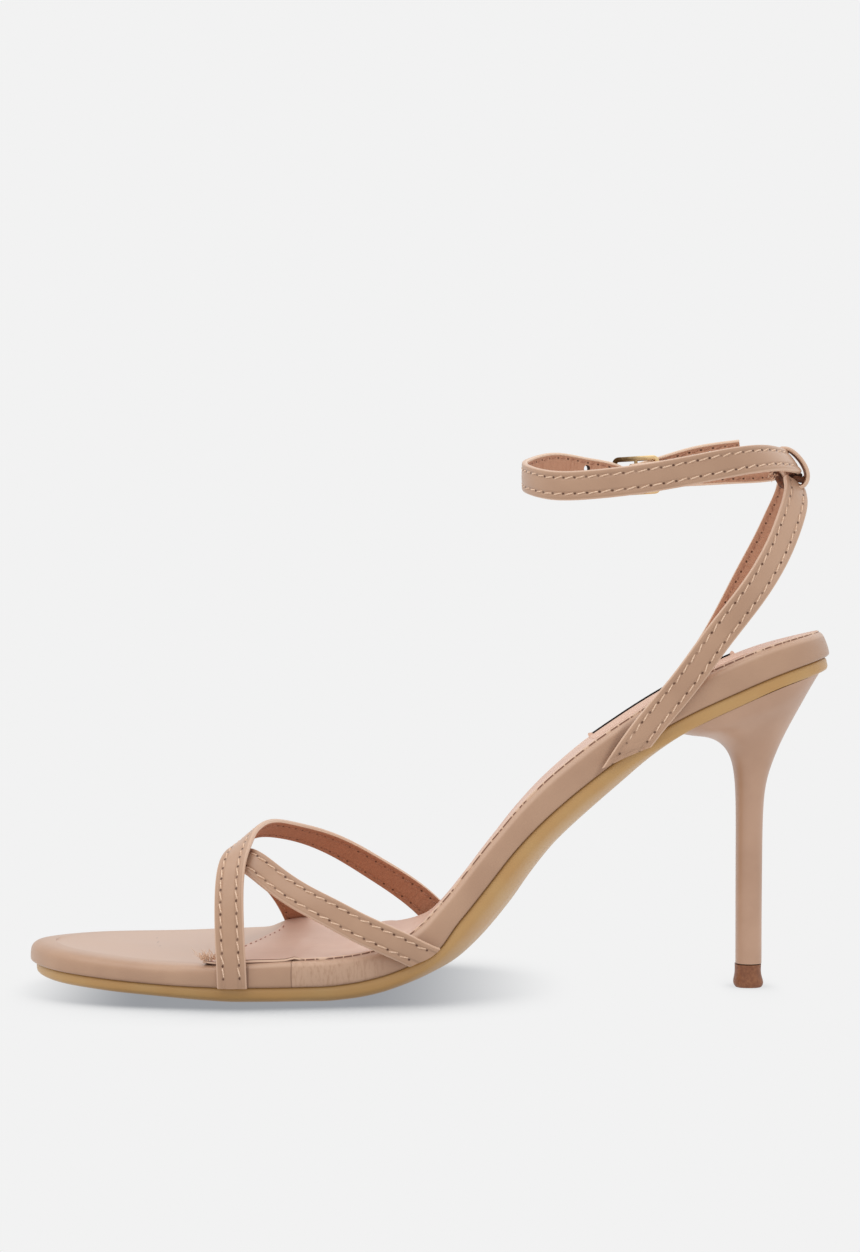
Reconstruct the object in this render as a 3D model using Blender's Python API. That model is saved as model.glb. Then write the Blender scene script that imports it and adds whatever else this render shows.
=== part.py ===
# Ankle strap sandal: right shoe, toe towards -X, inner side of the foot towards -Y, standing on z = 0.
import math

import bmesh
import bpy
import numpy as np
from mathutils import Matrix, Vector

MM = 0.001
MERGE = 0.000002
RUN_STEP = 0.002

# Sole, lengthways. Station x, height of the seat line, crosswise fall towards the outer side,
# footbed top above the line, outsole edge and outsole middle below it (all mm).
SOLE_ROWS = [
    (-108.4, 6.9, 0.000, 7.2, 2.4, 2.4),
    (-99.0, 6.0, 0.000, 7.2, 2.4, 2.4),
    (-90.0, 5.4, 0.000, 7.2, 2.4, 2.4),
    (-80.0, 4.75, 0.000, 7.2, 2.6, 2.6),
    (-70.0, 4.2, 0.000, 7.3, 2.9, 2.9),
    (-60.0, 3.8, 0.000, 7.6, 3.3, 3.3),
    (-50.0, 3.6, 0.000, 7.8, 3.6, 3.6),
    (-28.0, 3.6, 0.000, 8.2, 3.6, 3.6),
    (-21.0, 3.85, 0.008, 8.2, 3.5, 3.5),
    (-14.0, 4.6, 0.022, 8.1, 3.4, 3.5),
    (-8.0, 5.8, 0.042, 8.0, 3.2, 3.6),
    (-3.0, 7.8, 0.062, 7.9, 3.2, 4.4),
    (3.0, 11.7, 0.088, 7.8, 3.2, 5.6),
    (9.0, 17.6, 0.110, 7.8, 3.2, 6.1),
    (16.0, 26.2, 0.112, 7.8, 3.2, 6.3),
    (23.0, 35.35, 0.103, 7.7, 3.2, 5.9),
    (30.0, 43.15, 0.088, 8.2, 3.1, 5.4),
    (38.0, 50.65, 0.070, 8.7, 3.0, 5.3),
    (47.0, 58.1, 0.055, 8.8, 2.9, 4.9),
    (57.0, 65.7, 0.050, 8.3, 2.7, 4.1),
    (68.0, 72.2, 0.045, 8.6, 2.5, 3.0),
    (80.0, 77.9, 0.040, 9.2, 2.4, 2.4),
    (92.0, 83.1, 0.036, 9.0, 2.3, 2.3),
    (109.2, 89.0, 0.034, 8.0, 2.2, 2.2),
]
# Plan of the footbed at its widest: station x, inner side y, outer side y (mm).
PLAN_ROWS = [
    (-104.3, -15.5, 7.6),
    (-99.0, -22.3, 15.6),
    (-90.0, -28.6, 24.2),
    (-77.0, -33.8, 32.0),
    (-62.0, -37.0, 37.4),
    (-46.0, -37.6, 39.6),
    (-30.0, -35.6, 39.4),
    (-14.0, -31.3, 36.6),
    (2.0, -26.6, 32.4),
    (18.0, -23.2, 28.4),
    (34.0, -21.5, 25.6),
    (50.0, -21.3, 24.2),
    (66.0, -22.3, 23.8),
    (80.0, -22.9, 23.4),
    (93.0, -21.2, 21.3),
    (102.0, -15.8, 15.9),
    (107.4, -8.0, 8.0),
]
TOE_TIP = (-107.8, -4.0)
HEEL_END = (109.2, 0.0)
SIDE_STEPS = 44
CAP_STEPS = 6

# Footbed and outsole meet this far above the seat line, with a thin layer of cement between them.
JOIN_UP = 1.2
SEAT_GAP = 0.15
# Walls: inset from the plan and height as a share of the thickness.
FOOTBED_WALL = [(2.0, 0.0), (0.7, 0.07), (0.15, 0.22), (0.0, 0.5), (0.08, 0.74), (0.35, 0.89), (0.9, 0.97), (1.9, 1.0)]
OUTSOLE_WALL = [(2.0, 0.0), (1.35, 0.12), (1.2, 0.45), (1.5, 0.7), (2.6, 0.9), (5.0, 1.0)]
PAD_CROWN = -0.3

# Sock: inset, thickness, and the slanting front edge from the inner to the outer side.
SOCK_INSET = 1.5
SOCK_THICK = 0.5
SOCK_GAP = 0.25
SOCK_FRONT = [(-60.5, -36.0), (-38.5, 37.0)]

# Heel, top to bottom: front x, front z, back x, back z, half width, squareness of front and of back (mm).
HEEL_ROWS = [
    (70.6, 68.0, 103.0, 81.8, 19.0, 5.0, 2.2),
    (75.0, 67.5, 101.0, 78.2, 16.2, 4.0, 2.2),
    (78.5, 66.1, 98.5, 73.6, 12.8, 3.2, 2.2),
    (80.7, 63.5, 95.6, 68.0, 9.6, 2.7, 2.2),
    (82.0, 59.4, 93.0, 62.0, 7.1, 2.5, 2.2),
    (82.6, 54.0, 91.0, 55.5, 5.6, 2.4, 2.2),
    (82.8, 46.0, 90.1, 46.8, 4.8, 2.4, 2.2),
    (82.8, 34.0, 89.9, 34.0, 4.4, 2.4, 2.2),
    (82.8, 18.0, 89.8, 18.0, 4.2, 2.4, 2.2),
    (82.8, 6.4, 89.8, 6.4, 4.1, 2.4, 2.2),
]
HEEL_TOP = (66.2, 104.4, 20.6, 7.0, 2.2)
HEEL_AROUND = 28
HEEL_CAP_SHARES = (0.7, 0.35)
TIP_ROWS = [
    (82.6, 6.1, 89.7, 6.1, 4.1, 2.6, 2.3),
    (82.5, 3.0, 89.8, 3.0, 4.2, 2.6, 2.3),
    (82.4, 0.45, 90.1, 0.45, 4.4, 2.6, 2.3),
    (82.7, 0.0, 89.8, 0.0, 4.1, 2.6, 2.3),
]

# Straps: width, thickness, corner bevel, and their routes as x, y, z along the middle of the strap (mm).
STRAP_WIDTH = 7.6
STRAP_THICK = 1.5
STRAP_BEVEL = 0.3
BEVEL_SHARE = 0.6
STRAP_STEP = 3.4
VAMP_OVER = [
    (-50.9, -37.9, 1.0),
    (-51.1, -38.6, 5.5),
    (-51.3, -38.6, 10.2),
    (-51.5, -37.8, 17.1),
    (-51.7, -35.2, 24.5),
    (-51.4, -30.8, 30.9),
    (-50.8, -24.5, 35.9),
    (-49.1, -16.5, 39.9),
    (-46.6, -7.5, 42.4),
    (-43.2, 1.5, 42.9),
    (-38.7, 9.8, 41.4),
    (-32.5, 18.0, 38.6),
    (-24.5, 25.4, 34.4),
    (-15.7, 30.8, 28.9),
    (-7.6, 34.0, 23.3),
    (-1.8, 34.9, 18.6),
    (3.0, 34.2, 13.6),
    (7.1, 32.4, 8.4),
]
VAMP_UNDER = [
    (3.0, -27.2, 5.5),
    (-1.3, -29.2, 10.6),
    (-5.2, -31.0, 13.2),
    (-10.4, -32.8, 16.1),
    (-18.2, -33.4, 19.9),
    (-26.0, -32.6, 23.9),
    (-33.9, -30.6, 27.6),
    (-41.6, -27.0, 32.0),
    (-46.0, -23.6, 35.3),
    (-48.9, -18.0, 37.9),
    (-50.8, -10.0, 39.1),
    (-51.4, -1.0, 37.8),
    (-49.8, 8.0, 34.2),
    (-46.8, 17.0, 30.4),
    (-43.6, 25.0, 26.2),
    (-40.4, 31.8, 21.0),
    (-38.2, 37.4, 15.8),
    (-37.0, 41.0, 11.0),
    (-36.8, 41.3, 6.0),
    (-36.6, 40.8, 1.0),
]
VAMP_CORE = (38.0, 30.0, 13.0, 0.35)
SLING_INNER = [
    (46.3, -21.4, 55.3),
    (50.2, -22.4, 61.5),
    (56.2, -23.2, 70.2),
    (66.9, -24.2, 83.4),
    (75.4, -23.9, 95.0),
    (85.5, -21.2, 107.8),
    (92.0, -16.6, 118.0),
    (96.0, -11.2, 126.6),
    (97.9, -6.6, 132.3),
    (98.0, -3.6, 135.2),
    (97.6, -2.4, 136.5),
]
SLING_OUTER = [
    (58.0, 24.4, 61.0),
    (62.2, 25.0, 67.8),
    (67.5, 25.5, 75.4),
    (73.7, 25.8, 84.4),
    (80.6, 24.8, 95.6),
    (88.6, 20.6, 111.7),
    (93.1, 16.0, 121.1),
    (95.8, 11.0, 128.0),
    (97.3, 6.4, 132.8),
    (97.4, 3.6, 135.7),
    (97.1, 2.4, 136.9),
]
SLING_TURN = (78.0, 0.35)
BACK_LOOP = [
    (100.9, 135.7),
    (101.9, 137.6),
    (101.8, 139.4),
    (100.9, 141.5),
    (99.2, 143.7),
    (97.3, 145.2),
    (95.4, 145.7),
    (93.8, 145.1),
    (93.2, 143.6),
    (93.9, 141.5),
    (95.8, 138.5),
    (97.7, 136.2),
    (99.4, 135.1),
]
BACK_LOOP_THICK = 1.0
BACK_LOOP_STEP = 1.4
# Ankle strap from the fold on the buckle round the ankle to the free tail: x, y, z, lean (degrees), thickness.
ANKLE_ROWS = [
    (59.7, 30.2, 139.6, 0.0, 0.8),
    (58.0, 30.2, 139.5, 0.0, 0.8),
    (56.4, 29.0, 139.4, 0.0, 0.8),
    (58.0, 27.8, 139.5, 0.0, 0.8),
    (60.8, 27.2, 139.6, 0.0, 1.1),
    (64.9, 27.0, 139.7, 0.0, 1.5),
    (74.6, 25.4, 139.9, 4.0, 1.5),
    (84.6, 20.9, 140.8, 12.0, 1.5),
    (92.0, 13.4, 141.5, 24.0, 1.5),
    (96.3, 6.0, 141.5, 33.0, 1.5),
    (97.3, 0.0, 141.3, 36.0, 1.5),
    (96.1, -6.4, 141.6, 33.0, 1.5),
    (91.1, -14.6, 142.2, 20.0, 1.5),
    (81.7, -21.6, 141.5, 10.0, 1.5),
    (68.5, -25.9, 139.3, 3.0, 1.5),
    (54.8, -27.2, 137.2, 0.0, 1.5),
    (43.2, -24.8, 135.3, 0.0, 1.5),
    (33.0, -18.8, 134.9, 0.0, 1.5),
    (27.1, -9.8, 136.2, 0.0, 1.5),
    (25.6, 0.6, 138.3, 0.0, 1.5),
    (28.3, 11.0, 140.2, 0.0, 1.5),
    (35.2, 19.4, 140.8, 0.0, 1.5),
    (43.8, 24.8, 139.8, 0.0, 1.5),
    (48.2, 26.6, 139.2, 0.0, 1.5),
    (51.9, 27.3, 139.0, 0.0, 1.5),
    (55.2, 29.8, 139.3, 0.0, 1.5),
    (58.9, 32.0, 139.8, 0.0, 1.5),
    (64.3, 31.2, 140.8, 0.0, 1.5),
    (73.7, 30.4, 142.6, 0.0, 1.5),
    (86.8, 28.8, 145.6, 0.0, 1.5),
]
ANKLE_CENTRE = 61.0
ANKLE_HOLES = (0.803, 0.832, 0.92, 0.945, 0.965)
ANKLE_STEP = 2.0
HOLE_RADIUS = 0.9
HOLE_DEPTH = 1.6

# Buckle: centre, size over all, wire and bar radius, corner radius, rise along the strap (degrees), prong.
BUCKLE_CENTRE = (57.8, 29.0, 139.5)
BUCKLE_SIZE = (13.2, 10.4)
WIRE = 0.55
BAR_WIRE = 0.5
BUCKLE_CORNER = 1.8
CORNER_STEPS = 4
BUCKLE_RISE = 4.0
BUCKLE_SIDE = 26.5
PRONG_WIRE = 0.4
PRONG_REACH = 7.2
EYE_STEPS = 14
HOLE_ROOM = 0.35
PRONG_SLOT = (4.6, 1.6, 4.4)
SLOT_SHIFT = -0.6

# Finish of each piece: material, colour, roughness, metallic.
FINISHES = {
    "outsole": ("outsole_rubber", (0.36, 0.22, 0.09), 0.45, 0.0),
    "footbed": ("footbed_leather", (0.42, 0.27, 0.18), 0.5, 0.0),
    "insole_sock": ("sock_leather", (0.56, 0.38, 0.30), 0.55, 0.0),
    "heel": ("heel_finish", (0.44, 0.28, 0.19), 0.35, 0.0),
    "heel_tip": ("tip_plastic", (0.20, 0.09, 0.05), 0.4, 0.0),
    "vamp_straps": ("vamp_leather", (0.42, 0.27, 0.18), 0.45, 0.0),
    "slingback": ("sling_leather", (0.42, 0.27, 0.18), 0.45, 0.0),
    "ankle_strap": ("ankle_leather", (0.42, 0.27, 0.18), 0.45, 0.0),
    "buckle_frame": ("buckle_metal", (0.75, 0.55, 0.30), 0.25, 1.0),
    "buckle_prong": ("prong_metal", (0.75, 0.55, 0.30), 0.25, 1.0),
}

# The straps are trimmed along the footbed underside, this far out and down.
CUT_REACH = 14.0
CUT_DEPTH = 16.0


def clear_scene():
    for ob in list(bpy.data.objects):
        bpy.data.objects.remove(ob, do_unlink=True)


def group(name):
    made = bpy.data.collections.new(name)
    bpy.context.scene.collection.children.link(made)
    return made


def column(rows, k):
    """A smooth value along the first column that never overshoots its rows."""
    xs = np.array([r[0] for r in rows])
    ys = np.array([r[k] for r in rows])
    h = np.diff(xs)
    d = np.diff(ys) / h
    m = np.zeros(len(xs))
    m[0] = d[0]
    m[-1] = d[-1]
    for i in range(1, len(xs) - 1):
        if d[i - 1] * d[i] > 0:
            w1 = 2 * h[i] + h[i - 1]
            w2 = h[i] + 2 * h[i - 1]
            m[i] = (w1 + w2) / (w1 / d[i - 1] + w2 / d[i])

    def value(x):
        x = min(max(x, xs[0]), xs[-1])
        i = min(max(int(np.searchsorted(xs, x)) - 1, 0), len(h) - 1)
        s = (x - xs[i]) / h[i]
        a = (1 + 2 * s) * (1 - s) ** 2 * ys[i] + s * s * (3 - 2 * s) * ys[i + 1]
        return a + h[i] * (s * (1 - s) ** 2 * m[i] - s * s * (1 - s) * m[i + 1])

    return value


def smooth_path(points, closed=False):
    """A cubic curve through the points; called with 0 to 1 along its length."""
    p = np.array(points, float)
    if closed:
        p = np.vstack([p, p[:1]])
    h = np.linalg.norm(np.diff(p[:, :3], axis=0), axis=1)
    u = np.concatenate([[0.0], np.cumsum(h)])
    n = len(u)
    a = np.zeros((n, n))
    b = np.zeros_like(p)
    for k in range(1, n - 1):
        a[k, k - 1 : k + 2] = (h[k - 1], 2 * (h[k - 1] + h[k]), h[k])
        b[k] = 6 * ((p[k + 1] - p[k]) / h[k] - (p[k] - p[k - 1]) / h[k - 1])
    a[0, 0] = 1.0
    a[-1, -1] = 1.0
    if closed:
        a[0, 0] = 2 * (h[-1] + h[0])
        a[0, 1] = h[0]
        a[0, n - 2] = h[-1]
        b[0] = 6 * ((p[1] - p[0]) / h[0] - (p[-1] - p[-2]) / h[-1])
        a[-1, 0] = -1.0
    m = np.linalg.solve(a, b)

    def at(share):
        t = share * u[-1]
        i = min(max(int(np.searchsorted(u, t)) - 1, 0), n - 2)
        f = u[i + 1] - t
        g = t - u[i]
        bent = (m[i] * f**3 + m[i + 1] * g**3) / (6 * h[i])
        line = (p[i] / h[i] - m[i] * h[i] / 6) * f + (p[i + 1] / h[i] - m[i + 1] * h[i] / 6) * g
        return bent + line

    at.length = u[-1]
    at.marks = u / u[-1]
    return at


SEAT, FALL, PAD, SOLE_EDGE, SOLE_MID = (column(SOLE_ROWS, k) for k in range(1, 6))
INNER, OUTER = (column(PLAN_ROWS, k) for k in (1, 2))


def place(x, y, t):
    """Point on the bent sole: station x, side y, height t square to the sole."""
    a = math.atan2(SEAT(x + 0.5) - SEAT(x - 0.5), 1.0)
    return ((x - t * math.sin(a)) * MM, y * MM, (SEAT(x) - FALL(x) * y + t * math.cos(a)) * MM)


def plan_points():
    inner = [(x, y) for x, y, _ in PLAN_ROWS]
    outer = [(x, y) for x, _, y in reversed(PLAN_ROWS)]
    path = smooth_path([TOE_TIP] + inner + [HEEL_END] + outer, closed=True)
    heel = path.marks[len(PLAN_ROWS) + 1]
    shares = [heel * i / SIDE_STEPS for i in range(SIDE_STEPS)]
    shares += [heel + (1 - heel) * i / SIDE_STEPS for i in range(SIDE_STEPS)]
    pts = np.array([path(s) for s in shares])
    run = np.roll(pts, -1, axis=0) - np.roll(pts, 1, axis=0)
    run /= np.linalg.norm(run, axis=1)[:, None]
    return pts, np.stack([-run[:, 1], run[:, 0]], axis=1)


PLAN, INWARD = plan_points()


def new_object(name, verts, faces, where):
    mesh = bpy.data.meshes.new(name)
    mesh.from_pydata([tuple(v) for v in verts], [], faces)
    mesh.update()
    ob = bpy.data.objects.new(name, mesh)
    where.objects.link(ob)
    bm = bmesh.new()
    bm.from_mesh(mesh)
    bmesh.ops.remove_doubles(bm, verts=bm.verts, dist=MERGE)
    bmesh.ops.recalc_face_normals(bm, faces=bm.faces)
    bm.to_mesh(mesh)
    bm.free()
    return ob


def slab(name, levels, low, high, where):
    """A plate cut to the plan: levels are (inset, height at x), low and high its heights at (x, share across)."""
    n = len(PLAN)
    verts = []
    faces = []
    for inset, height in levels:
        for (x, y), (nx, ny) in zip(PLAN, INWARD):
            qx, qy = x + inset * nx, y + inset * ny
            verts.append(place(qx, qy, height(qx)))
    for k in range(len(levels) - 1):
        for i in range(n):
            j = (i + 1) % n
            faces.append((k * n + i, k * n + j, (k + 1) * n + j, (k + 1) * n + i))
    for k, height in ((0, low), (len(levels) - 1, high)):
        inset = levels[k][0]
        rows = [[k * n]]
        for i in range(1, SIDE_STEPS):
            a = PLAN[i] + inset * INWARD[i]
            b = PLAN[n - i] + inset * INWARD[n - i]
            row = [k * n + i]
            for c in range(1, CAP_STEPS):
                q = a + (b - a) * c / CAP_STEPS
                row.append(len(verts))
                verts.append(place(q[0], q[1], height(q[0], 2 * c / CAP_STEPS - 1)))
            rows.append(row + [k * n + n - i])
        rows.append([k * n + SIDE_STEPS])
        for one, two in zip(rows, rows[1:]):
            for c in range(CAP_STEPS):
                quad = [one[min(c, len(one) - 1)], one[min(c + 1, len(one) - 1)]]
                quad += [two[min(c + 1, len(two) - 1)], two[min(c, len(two) - 1)]]
                faces.append(tuple(dict.fromkeys(quad)))
    return new_object(name, verts, faces, where)


def make_footbed(where):
    low = JOIN_UP + SEAT_GAP
    levels = [(i, lambda x, s=s: low + s * (PAD(x) - low)) for i, s in FOOTBED_WALL]
    return slab("footbed", levels, lambda x, v: low, lambda x, v: PAD(x) + PAD_CROWN * (1 - v * v), where)


def sole_under(x, v):
    """Height of the outsole underside at station x, v going from -1 to 1 across."""
    return -SOLE_EDGE(x) - (SOLE_MID(x) - SOLE_EDGE(x)) * (1 - v * v)


def make_outsole(where):
    high = JOIN_UP - SEAT_GAP
    levels = [(i, lambda x, s=s: high - s * (SOLE_EDGE(x) + high)) for i, s in OUTSOLE_WALL]
    return slab("outsole", levels, lambda x, v: high, sole_under, where)


def make_sock(where):
    def base(x, v):
        return PAD(x) + PAD_CROWN * (1 - v * v) + SOCK_GAP

    def top(x, v):
        return base(x, v) + SOCK_THICK

    levels = [(SOCK_INSET, lambda x: base(x, 1)), (SOCK_INSET, lambda x: top(x, 1))]
    ob = slab("insole_sock", levels, base, top, where)
    a, b = (Vector((x * MM, y * MM, 0)) for x, y in SOCK_FRONT)
    normal = Vector((a.y - b.y, b.x - a.x, 0)).normalized()
    bm = bmesh.new()
    bm.from_mesh(ob.data)
    everything = bm.verts[:] + bm.edges[:] + bm.faces[:]
    bmesh.ops.bisect_plane(bm, geom=everything, plane_co=a, plane_no=normal, clear_outer=True)
    bmesh.ops.holes_fill(bm, edges=[e for e in bm.edges if e.is_boundary])
    bmesh.ops.recalc_face_normals(bm, faces=bm.faces)
    bm.to_mesh(ob.data)
    bm.free()
    return ob


def oval(front_square, back_square, k, around):
    """Point k of a ring: share from front to back and share of the half width."""
    a = 2 * math.pi * k / around
    power = 2 / (back_square if math.cos(a) > 0 else front_square)
    along = math.copysign(abs(math.cos(a)) ** power, math.cos(a))
    return 0.5 + 0.5 * along, math.copysign(abs(math.sin(a)) ** power, math.sin(a))


def ring(row):
    fx, fz, bx, bz, half, front_square, back_square = row
    pts = []
    for k in range(HEEL_AROUND):
        s, side = oval(front_square, back_square, k, HEEL_AROUND)
        pts.append(((fx + s * (bx - fx)) * MM, side * half * MM, (fz + s * (bz - fz)) * MM))
    return pts


def seat_ring(share):
    front, back, half, front_square, back_square = HEEL_TOP
    mid = 0.5 * (front + back)
    pts = []
    for k in range(HEEL_AROUND):
        s, side = oval(front_square, back_square, k, HEEL_AROUND)
        x = mid + share * (front + s * (back - front) - mid)
        y = share * side * half
        across = y / (OUTER(x) if y > 0 else INNER(x))
        pts.append(place(x, y, sole_under(x, across) - 2 * SEAT_GAP))
    return pts


def stack(name, rings, where):
    n = HEEL_AROUND
    verts = [p for r in rings for p in r]
    faces = [tuple(range(n)), tuple(range(len(verts) - n, len(verts)))]
    for k in range(len(rings) - 1):
        for i in range(n):
            j = (i + 1) % n
            faces.append((k * n + i, k * n + j, (k + 1) * n + j, (k + 1) * n + i))
    return new_object(name, verts, faces, where)


def make_heel(where):
    rings = [seat_ring(s) for s in reversed(HEEL_CAP_SHARES)] + [seat_ring(1.0)]
    return stack("heel", rings + [ring(r) for r in HEEL_ROWS], where)


def ribbon(name, rows, side_of, where, thick=STRAP_THICK, step=STRAP_STEP):
    """A strap with bevelled edges along a route; side_of(point, run) points across its width."""
    closed = rows[0] is rows[-1]
    path = smooth_path(rows[:-1] if closed else rows, closed)
    count = max(8, int(path.length / step))
    total = count if closed else count + 1
    half = STRAP_WIDTH / 2
    c = STRAP_BEVEL
    verts = []
    for k in range(total):
        s = k / count
        q = path(s)
        ahead = path((s + RUN_STEP) % 1.0 if closed else min(s + RUN_STEP, 1.0))
        behind = path((s - RUN_STEP) % 1.0 if closed else max(s - RUN_STEP, 0.0))
        run = Vector(ahead[:3] - behind[:3]).normalized()
        side = side_of(q, run)
        side = (side - run * side.dot(run)).normalized()
        out = side.cross(run)
        h = (q[4] if len(q) > 4 else thick) / 2
        e = h - min(c, BEVEL_SHARE * h)
        corners = [(half, -e), (half, e), (half - c, h), (c - half, h)]
        corners += [(-half, e), (-half, -e), (c - half, -h), (half - c, -h)]
        verts += [(Vector(q[:3]) + side * w + out * t) * MM for w, t in corners]
    n = 8
    faces = []
    for k in range(count):
        m = (k + 1) % total
        for i in range(n):
            j = (i + 1) % n
            faces.append((k * n + i, k * n + j, m * n + j, m * n + i))
    if not closed:
        faces += [tuple(range(n)), tuple(range(count * n, total * n))]
    return new_object(name, verts, faces, where)


def combine(target, other, how):
    mod = target.modifiers.new(how.lower(), "BOOLEAN")
    mod.operation = how
    mod.solver = "EXACT"
    mod.object = other
    with bpy.context.temp_override(object=target, active_object=target, selected_objects=[target]):
        bpy.ops.object.modifier_apply(modifier=mod.name)


def as_cutter(ob):
    ob.hide_render = True
    ob.display_type = "WIRE"
    return ob


def vamp_side(q, run):
    half, high, base, rake = VAMP_CORE
    up = max(q[2] - base, 0.0) / high**2
    return run.cross(Vector((-rake * up, q[1] / half**2, up)))


def sling_side(q, run):
    start, rate = SLING_TURN
    return run.cross(Vector((rate * max(q[0] - start, 0.0), q[1], 0.0)))


def ankle_side(q, run):
    lean = math.radians(q[3])
    away = Vector((q[0] - ANKLE_CENTRE, q[1], 0.0)).normalized()
    rise = math.radians(BUCKLE_RISE) if q[1] > BUCKLE_SIDE else 0.0
    return Vector((-math.sin(rise), 0, math.cos(lean))) - away * math.sin(lean)


def make_vamp(where, cutters, sole_cutter):
    over = ribbon("vamp_straps", VAMP_OVER, vamp_side, where)
    under = as_cutter(ribbon("vamp_under", VAMP_UNDER, vamp_side, cutters))
    combine(over, under, "UNION")
    combine(over, sole_cutter, "DIFFERENCE")
    return over


def make_sling(where, cutters, sole_cutter):
    inner = ribbon("slingback", SLING_INNER, sling_side, where)
    outer = as_cutter(ribbon("slingback_outer", SLING_OUTER, sling_side, cutters))
    rows = [(x, 0.0, z) for x, z in BACK_LOOP]
    rows.append(rows[0])
    loop = ribbon("back_loop", rows, lambda q, run: Vector((0, 1, 0)), cutters, BACK_LOOP_THICK, BACK_LOOP_STEP)
    as_cutter(loop)
    combine(inner, outer, "UNION")
    combine(inner, loop, "UNION")
    combine(inner, sole_cutter, "DIFFERENCE")
    return inner


def buckle_point(u, v, w):
    """Point in the buckle: u along the strap, v up, w outwards."""
    a = math.radians(BUCKLE_RISE)
    x = BUCKLE_CENTRE[0] + u * math.cos(a) - v * math.sin(a)
    z = BUCKLE_CENTRE[2] + u * math.sin(a) + v * math.cos(a)
    return Vector((x, BUCKLE_CENTRE[1] + w, z)) * MM


def tube(name, points, radius, where, closed=False):
    """A round bar through the points, made from a bevelled curve."""
    curve = bpy.data.curves.new(name, "CURVE")
    curve.dimensions = "3D"
    curve.bevel_depth = radius * MM
    curve.bevel_resolution = 2
    curve.use_fill_caps = True
    line = curve.splines.new("POLY")
    line.points.add(len(points) - 1)
    for p, q in zip(line.points, points):
        p.co = (q.x, q.y, q.z, 1.0)
    line.use_cyclic_u = closed
    shape = bpy.data.objects.new(name, curve)
    where.objects.link(shape)
    depsgraph = bpy.context.evaluated_depsgraph_get()
    mesh = bpy.data.meshes.new_from_object(shape.evaluated_get(depsgraph))
    bpy.data.objects.remove(shape, do_unlink=True)
    ob = bpy.data.objects.new(name, mesh)
    where.objects.link(ob)
    bm = bmesh.new()
    bm.from_mesh(mesh)
    bmesh.ops.remove_doubles(bm, verts=bm.verts, dist=MERGE)
    bmesh.ops.recalc_face_normals(bm, faces=bm.faces)
    bm.to_mesh(mesh)
    bm.free()
    return ob


def make_buckle(where, cutters):
    along, high = (s / 2 - WIRE for s in BUCKLE_SIZE)
    corners = [(1, 1), (-1, 1), (-1, -1), (1, -1)]
    points = []
    for k, (cu, cv) in enumerate(corners):
        for i in range(CORNER_STEPS + 1):
            a = math.pi / 2 * (k + i / CORNER_STEPS)
            u = cu * (along - BUCKLE_CORNER) + BUCKLE_CORNER * math.cos(a)
            v = cv * (high - BUCKLE_CORNER) + BUCKLE_CORNER * math.sin(a)
            points.append(buckle_point(u, v, 0.0))
    frame = tube("buckle_frame", points, WIRE, where, closed=True)
    bar = as_cutter(tube("buckle_bar", [buckle_point(0, s * high, 0) for s in (-1, 1)], BAR_WIRE, cutters))
    combine(frame, bar, "UNION")
    return frame


def prong_line():
    rest = WIRE + PRONG_WIRE + SEAT_GAP
    return [buckle_point(0, 0, rest), buckle_point(-PRONG_REACH, 0, rest)]


def make_prong(where, cutters):
    prong = tube("buckle_prong", prong_line(), PRONG_WIRE, where)
    eye = []
    for i in range(EYE_STEPS):
        a = 2 * math.pi * i / EYE_STEPS
        r = BAR_WIRE + SEAT_GAP + PRONG_WIRE
        eye.append(buckle_point(r * math.cos(a), 0, r * math.sin(a)))
    combine(prong, as_cutter(tube("prong_eye", eye, PRONG_WIRE, cutters, closed=True)), "UNION")
    return prong


def make_ankle(where, cutters):
    strap = ribbon("ankle_strap", ANKLE_ROWS, ankle_side, where, step=ANKLE_STEP)
    path = smooth_path(ANKLE_ROWS)
    for k, s in enumerate(ANKLE_HOLES):
        q = Vector(path(s)[:3])
        run = Vector(path(s + RUN_STEP)[:3] - path(s - RUN_STEP)[:3])
        out = run.cross(Vector((0, 0, 1))).normalized()
        ends = [(q + out * d) * MM for d in (-HOLE_DEPTH, HOLE_DEPTH)]
        combine(strap, as_cutter(tube(f"strap_hole_{k}", ends, HOLE_RADIUS, cutters)), "DIFFERENCE")
    combine(strap, as_cutter(tube("prong_hole", prong_line(), PRONG_WIRE + HOLE_ROOM, cutters)), "DIFFERENCE")
    bpy.ops.mesh.primitive_cube_add(size=1.0)
    slot = as_cutter(bpy.context.active_object)
    slot.name = "prong_slot"
    du, dv, dw = (s * MM for s in PRONG_SLOT)
    slot.data.transform(Matrix.Diagonal((du, dw, dv, 1.0)))
    slot.data.transform(Matrix.Rotation(-math.radians(BUCKLE_RISE), 4, "Y"))
    slot.data.transform(Matrix.Translation(buckle_point(SLOT_SHIFT, 0, 0)))
    for c in list(slot.users_collection):
        c.objects.unlink(slot)
    cutters.objects.link(slot)
    combine(strap, slot, "DIFFERENCE")
    return strap


def paint(ob, name, colour, roughness, metallic):
    made = bpy.data.materials.new(name)
    made.use_nodes = True
    shader = made.node_tree.nodes["Principled BSDF"]
    shader.inputs["Base Color"].default_value = (*colour, 1.0)
    shader.inputs["Roughness"].default_value = roughness
    shader.inputs["Metallic"].default_value = metallic
    ob.data.materials.clear()
    ob.data.materials.append(made)


def stand_on_origin(where, cutters):
    """Moves everything so that the origin is under the middle of the shoe, on the floor."""
    corners = np.array([v.co for ob in where.objects for v in ob.data.vertices])
    low = corners.min(axis=0)
    middle = (low + corners.max(axis=0)) / 2
    shift = Matrix.Translation((-middle[0], -middle[1], -low[2]))
    for ob in list(where.objects) + list(cutters.objects):
        ob.data.transform(shift)


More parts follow.
